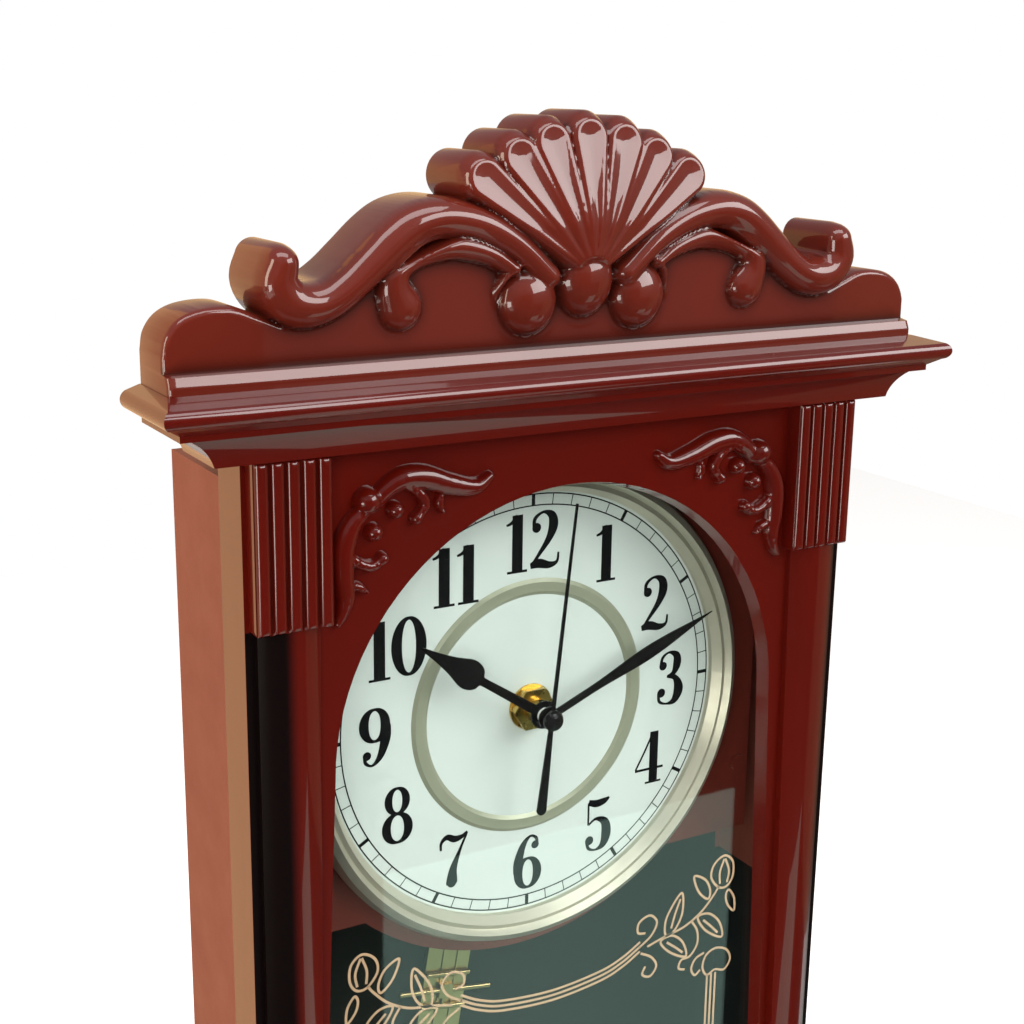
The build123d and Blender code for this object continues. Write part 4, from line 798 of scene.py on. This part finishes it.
def boardField(x, z):
    # board below its shoulder line, which rises evenly inside the neck: distance by height and by width
    wide = np.abs(x)
    neckX, neckZ = crestLook["shoulder"][-1]
    top = np.interp(wide, crestShoulder[:, 0], crestShoulder[:, 1])
    top = np.where(wide < neckX, neckZ + (neckX - wide) * crestLook["neckRise"], top)
    steep = np.interp(wide, crestShoulder[:, 0], shoulderSlope)
    return np.maximum((z - top) / steep, np.maximum(wide - crestLook["halfWidth"], -z))


def crestOutline(x, z):
    # signed distance to the crest: the nearest of board, scrolls and lobes
    share, half = strokeField(np.abs(x), z, crestStrokes["scroll"])
    found = [boardField(x, z), (share - 1) * half]
    found += [lobeField(x, z, angle, length)[0] for angle, length, _ in lobeList]
    return np.maximum(np.minimum.reduce(found), -z)


def crestHeight(x, z):
    # board, foot bead, shell, scrolls and eggs, the highest at each place
    look = crestLook
    panel, rim, inset = look["panel"], look["lobeRim"], look["lobeInset"]
    wide = np.abs(x)
    layers = [np.full_like(x, panel)]
    foot = np.clip((z - look["footStart"]) / (look["footHeight"] - look["footStart"]), 0, 1)
    layers.append(look["footReach"] - look["footFall"] * foot - look["footCliff"] * over(z - look["footHeight"]))
    bend = look["leanBend"]
    lean = look["shellLean"] * (np.sqrt(over(z - look["leanStart"]) ** 2 + bend ** 2) - bend)
    for angle, length, rank in lobeList:
        distance, along = lobeField(x, z, angle, length)
        distance = distance + inset
        inside = over(-distance)
        full = look["shellReach"] - rank * look["shellFall"] - lean
        broad = look["root"] + (look["tip"] - look["root"]) * along - inset
        deep = np.clip((inside - rim) / np.maximum(broad - rim, look["dishLeast"]), 0, 1)
        dish = look["dish"] * deep ** look["dishPower"]
        outside = look["lobeFall"] * over(distance) ** look["lobePower"]
        layers.append(full - roundedEdge(inside, rim) - dish - outside)
    sink = look["strokeSink"]
    for name in ("scroll", "curl"):
        share, half = strokeField(wide, z, crestStrokes[name])
        full = look[name + "Reach"] - panel
        layers.append(panel - sink + (full + sink) * domed(share) - look["strokeFall"] * over(share - 1) * half)
    for cx, cz, rx, rz, reach in look["eggs"]:
        share = np.hypot((x - cx) / rx, (z - cz) / rz)
        sink = look["eggSink"]
        layers.append(panel - sink + (reach - panel + sink) * domed(share) - look["eggFall"] * over(share - 1))
        ring = np.abs(share - look["hoodAt"]) * (rx + rz) / 2
        upper = np.clip((z - cz) / rz + look["hoodStart"], 0, 1)
        sink = look["hoodSink"]
        layers.append(panel - sink + (look["hoodReach"] - panel + sink) * domed(np.minimum(ring / look["hood"], 1))
                      * upper - look["hoodFall"] * over(ring - look["hood"]))
    # along the foot only the two ends are rounded
    inside = over(-np.minimum(crestOutline(x, z), 0))
    ends = np.minimum(np.abs(wide - look["halfWidth"]), look["endMost"])
    inside = np.where(z < look["endHeight"], ends, inside)
    return softMax(layers, look["blend"]) - roundedEdge(inside, look["rim"])


def crestBack(x, z):
    # flat rim at the back and a hollow behind the carving
    deep = np.clip((-crestOutline(x, z) - crestLook["wall"]) / crestLook["hollowSlope"], 0, 1)
    hollow = np.minimum(crestHeight(x, z) - crestLook["wall"], crestLook["panel"])
    return crestLook["back"] + (hollow - crestLook["back"]) * deep


reliefPiece("crestCarving", crestLook["region"], crestLook["step"], crestOutline, crestHeight, crestBack,
            (0.0, frontFace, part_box("crest")[0].z / mm), "mahoganyGloss", "crest")
print("crest carved")


# corner ornaments: lines as x outwards, z above the dial's centre, half width and reach, and beads as x, z,
# radius and reach, in mm
ornamentLook = dict(blend=0.25, step=(0.35, 0.35), across=(27.2, 80.2), upwards=(44, 91), sunk=0.4, lineSteps=12,
                    reachEvery=6, lineFall=3, beadFall=6, lines=[
    [(29.4, 83.8, 1.5, 2.6), (34, 81.2, 2.6, 3.3), (42, 82.8, 3.4, 3.8), (50, 85.6, 3.7, 4),
     (57, 86, 3.5, 3.9), (62.5, 83.2, 3, 3.6), (65.6, 79.6, 2.4, 3)],
    [(68.6, 78.6, 2.4, 3), (72.6, 74.6, 3.1, 3.6), (75, 68.4, 3.5, 3.9), (75.2, 60.4, 3.3, 3.8),
     (74.6, 54, 2.8, 3.4), (75.6, 49.6, 2, 2.8), (77.2, 46.8, 1.2, 2.2)],
    [(57.4, 84.6, 1.5, 3), (52.2, 81.6, 1.8, 3.2), (50.2, 78, 1.8, 3), (52.4, 74.8, 1.6, 2.8)],
    [(75, 67.4, 1.5, 3), (70.4, 63.4, 1.8, 3.2), (66.6, 62.2, 1.8, 3), (63.8, 63.6, 1.6, 2.8)],
    [(44.6, 81.2, 0.8, 2.4), (45.6, 77.8, 1.5, 2.4), (44.6, 75.2, 0.8, 1.6)],
    [(74.4, 57.8, 0.8, 2.4), (70.6, 56.6, 1.5, 2.4), (68.2, 54.8, 0.8, 1.6)],
], beads=[(67.9, 80.9, 4.2, 5.2), (59.4, 77.4, 2.7, 4.2), (66, 71.8, 2.8, 4.2), (53, 74.2, 2, 3.4),
          (63.4, 64, 2, 3.4)])
ornamentStrokes = [smoothPath(line, ornamentLook["lineSteps"] * len(line)) for line in ornamentLook["lines"]]


def ornamentOutline(x, z):
    # signed distance to the nearest line or bead, the same on both sides of the clock
    wide = np.abs(x)
    found = [np.hypot(wide - bx, z - bz) - radius for bx, bz, radius, _ in ornamentLook["beads"]]
    for rows in ornamentStrokes:
        share, half = strokeField(wide, z, rows[:, :3])
        found.append((share - 1) * half)
    return np.minimum.reduce(found)


def ornamentHeight(x, z):
    # half-round lines whose reach follows their half width, and beads as half balls
    wide = np.abs(x)
    layers = []
    for rows in ornamentStrokes:
        share, half = strokeField(wide, z, rows[:, :3])
        known = sorted((row[2], row[3]) for row in rows[::ornamentLook["reachEvery"]])
        reach = np.interp(half, *zip(*known))
        layers.append(reach * domed(share) - ornamentLook["lineFall"] * over(share - 1) * half)
    for bx, bz, radius, reach in ornamentLook["beads"]:
        share = np.hypot(wide - bx, z - bz) / radius
        layers.append(reach * domed(share) - ornamentLook["beadFall"] * over(share - 1))
    return softMax(layers, ornamentLook["blend"])


def ornamentBack(x, z):
    # flat back that is sunk a little into the frame
    return np.full_like(x, -ornamentLook["sunk"])


near, far = ornamentLook["across"]
for sideName, across in (("left", (-far, -near)), ("right", (near, far))):
    reliefPiece(sideName + "OrnamentCarving", (*across, *ornamentLook["upwards"]), ornamentLook["step"],
                ornamentOutline, ornamentHeight, ornamentBack, (0.0, frontFace, dialCentre.z / mm),
                "frameGlossPaintedShade", sideName + "_spandrel_ornament")
print("ornaments carved")


# reeded blocks: reeds, gap between them, rounding of reeds and of the block's corners, in mm
blockLook = dict(reeds=5, gap=0.7, rounding=1.5, corner=0.5, sunk=0.3, step=(0.15, 0.75))


def carveBlock(node):
    # upright reeds with quarter-round edges and ends on a flat block
    low, high = (np.array(corner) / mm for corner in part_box(node))
    wide, tall, reach = high[0] - low[0], high[2] - low[2], frontFace - low[1]
    pitch, corner = wide / blockLook["reeds"], blockLook["corner"]

    def outline(x, z):
        dx = np.abs(x - wide / 2) - wide / 2 + corner
        dz = np.abs(z - tall / 2) - tall / 2 + corner
        return np.hypot(over(dx), over(dz)) + np.minimum(np.maximum(dx, dz), 0) - corner

    def height(x, z):
        side = pitch / 2 - blockLook["gap"] / 2 - np.abs(np.mod(x, pitch) - pitch / 2)
        end = tall / 2 - np.abs(z - tall / 2)
        return reach - roundedEdge(over(np.minimum(side, end)), blockLook["rounding"])

    def back(x, z):
        return np.full_like(x, -blockLook["sunk"])

    reliefPiece(node + "_reeds", (0.0, wide, 0.0, tall), blockLook["step"], outline, height, back,
                (low[0], frontFace, low[2]), "frameGlossPaintedShade", node)


for blockNode in blockNodes:
    carveBlock(blockNode)
print("blocks carved")


# stage: floor, cards, lights and camera

cameraLook = dict(place=(-0.25320, -0.41269, 0.51669), aim=(-0.02122, -0.01795, 0.39688), roll=0.803, lens=57.45,
                  sensor=36.0, nearest=0.01)
floorLook = dict(half=1.3, color=(0.86, 0.86, 0.85), rough=0.9, lift=0.55)


def addStagePlane(name, corners, material):
    mesh = bpy.data.meshes.new(name)
    mesh.from_pydata(corners, [], [(0, 1, 2, 3)])
    mesh.materials.append(material)
    plane = bpy.data.objects.new(name, mesh)
    bpy.context.scene.collection.objects.link(plane)
    return plane


def makeFloor():
    # pale floor that keeps its shadow and is lifted towards white only where the camera sees it
    material, tree, shader = newMaterial("paleFloor")
    seen = addNode(tree, "LightPath").outputs["Is Camera Ray"]
    setInputs(tree, shader, {
        "Base Color": floorLook["color"], "Roughness": floorLook["rough"], "Specular IOR Level": 0.0,
        "Emission Color": (1, 1, 1), "Emission Strength": compute(tree, "MULTIPLY", seen, floorLook["lift"])})
    half = floorLook["half"]
    addStagePlane("floor", [(-half, -half, 0), (half, -half, 0), (half, half, 0), (-half, half, 0)], material)


# cards that only reflections see: a pale tabletop, whose image on the glass ends at the two upright lines that
# start at pane, a dark floor round it, and upright cards as two opposite corners; glow is a card's light
tableLook = dict(pane=(-61.0, 70.0), near=-0.05, far=-0.515, height=0.003, glow=(0.58, 0.88, 0.77),
                 floor=(-0.7, 0.9), floorHeight=0.002)
cardLook = {
    "warmCard": dict(low=(-0.75, 0.1, 0.004), high=(-0.108, 0.1, 0.6), glow=(1.1, 0.66, 0.34)),
    "glintCard": dict(low=(-1.1, -0.7, 0.02), high=(-1.1, -0.3, 0.34), glow=(9.0, 8.6, 8.0)),
    "sideCard": dict(low=(0.52, -0.5, 0.001), high=(0.52, 0.7, 0.42), glow=(0.25, 0.145, 0.09)),
    "leftCard": dict(low=(-0.62, -0.515, -0.2), high=(0.1, -0.515, 0.56), glow=(0, 0, 0)),
    "rightCard": dict(low=(0.1, -0.515, -0.2), high=(0.9, -0.515, 0.36), glow=(0, 0, 0)),
}


def tableSide(x, y):
    # where the mirrored view line through the glass at x passes the depth y, in metres
    eye = cameraLook["place"]
    glass = paneLow.y
    return x * mm + (x * mm - eye[0]) / (glass - eye[1]) * (glass - y)


def addCard(name, corners, glow):
    material, tree, shader = newMaterial(name)
    setInputs(tree, shader, {
        "Base Color": (0, 0, 0), "Specular IOR Level": 0.0, "Emission Color": glow, "Emission Strength": 1.0})
    card = addStagePlane(name, corners, material)
    card.visible_camera = card.visible_diffuse = card.visible_shadow = False


def makeCards():
    look = tableLook
    near, far, height = look["near"], look["far"], look["height"]
    left, right = look["pane"]
    addCard("tableCard", [
        (tableSide(left, near), near, height), (tableSide(right, near), near, height),
        (tableSide(right, far), far, height), (tableSide(left, far), far, height)], look["glow"])
    (left, right), height = look["floor"], look["floorHeight"]
    addCard("floorCard", [
        (left, near, height), (right, near, height), (right, far, height), (left, far, height)], (0, 0, 0))
    for name, card in cardLook.items():
        (x0, y0, z0), (x1, y1, z1) = card["low"], card["high"]
        addCard(name, [(x0, y0, z0), (x1, y1, z0), (x1, y1, z1), (x0, y0, z1)], card["glow"])


# place, aim point, size, colour and power of each lamp, and whether reflections show it
lampLook = {
    "keyLamp": dict(place=(0.61, -0.79, 0.95), aim=(0, 0, 0.4), size=(0.9, 0.5), color=(1, 0.98, 0.96), power=11),
    "leftLamp": dict(place=(-1.25, -0.05, 0.62), aim=(0, 0, 0.32), size=(0.35, 0.9), color=(1, 0.86, 0.68),
                     power=8),
    "topLamp": dict(place=(-0.1, -0.3, 1.35), aim=(0, 0, 0.42), size=(1.1, 0.45), color=(1, 1, 1), power=7.5),
    "fillLamp": dict(place=(-0.6, -0.8, 0.6), aim=(0.05, 0, 0.32), size=(0.5, 0.5), color=(1, 0.97, 0.93), power=6,
                     mirrored=False),
}


def aimFrom(look):
    aim = Vector(look["aim"]) - Vector(look["place"])
    return aim.to_track_quat("-Z", "Y")


def addLamps():
    for name, look in lampLook.items():
        lamp = bpy.data.lights.new(name, "AREA")
        lamp.shape = "RECTANGLE"
        lamp.size, lamp.size_y = look["size"]
        lamp.energy = look["power"]
        lamp.color = look["color"]
        holder = bpy.data.objects.new(name, lamp)
        holder.visible_glossy = look.get("mirrored", True)
        holder.location = look["place"]
        holder.rotation_euler = aimFrom(look).to_euler()
        bpy.context.scene.collection.objects.link(holder)


# colours of the room by direction: low in front, overhead, and behind, and where the last two set in
roomLook = dict(low=(0.15, 0.14, 0.135), high=(0.34, 0.34, 0.35), back=(0.95, 0.62, 0.32), rise=(0.15, 0.6),
                behind=(0.1, 0.6))


def makeWorld():
    # soft room: paler overhead and warm behind for light and reflections, plain white for the camera
    world = bpy.data.worlds.new("softRoom")
    bpy.context.scene.world = world
    world.use_nodes = True
    tree = world.node_tree
    axes = axesOf(tree, "Generated")
    color = mixColors(tree, smoothRamp(tree, axes["Y"], *roomLook["behind"]), roomLook["low"], roomLook["back"])
    color = mixColors(tree, smoothRamp(tree, axes["Z"], *roomLook["rise"]), color, roomLook["high"])
    room = tree.nodes["Background"]
    setInputs(tree, room, {"Color": color})
    plain = addNode(tree, "Background", {"Color": (1, 1, 1), "Strength": 1.0})
    seen = addNode(tree, "LightPath").outputs["Is Camera Ray"]
    choose = addNode(tree, "MixShader", {0: seen, 1: room.outputs[0], 2: plain.outputs[0]})
    setInputs(tree, tree.nodes["World Output"], {"Surface": choose.outputs[0]})


def addCamera():
    data = bpy.data.cameras.new("photoCamera")
    data.sensor_width = cameraLook["sensor"]
    data.lens = cameraLook["lens"]
    data.clip_start = cameraLook["nearest"]
    camera = bpy.data.objects.new("photoCamera", data)
    camera.location = cameraLook["place"]
    turn = aimFrom(cameraLook) @ Quaternion((0, 0, 1), math.radians(cameraLook["roll"]))
    camera.rotation_euler = turn.to_euler()
    bpy.context.scene.collection.objects.link(camera)
    bpy.context.scene.camera = camera


makeFloor()
makeCards()
addLamps()
makeWorld()
addCamera()
bpy.context.scene.view_settings.view_transform = "Standard"
print("stage set")
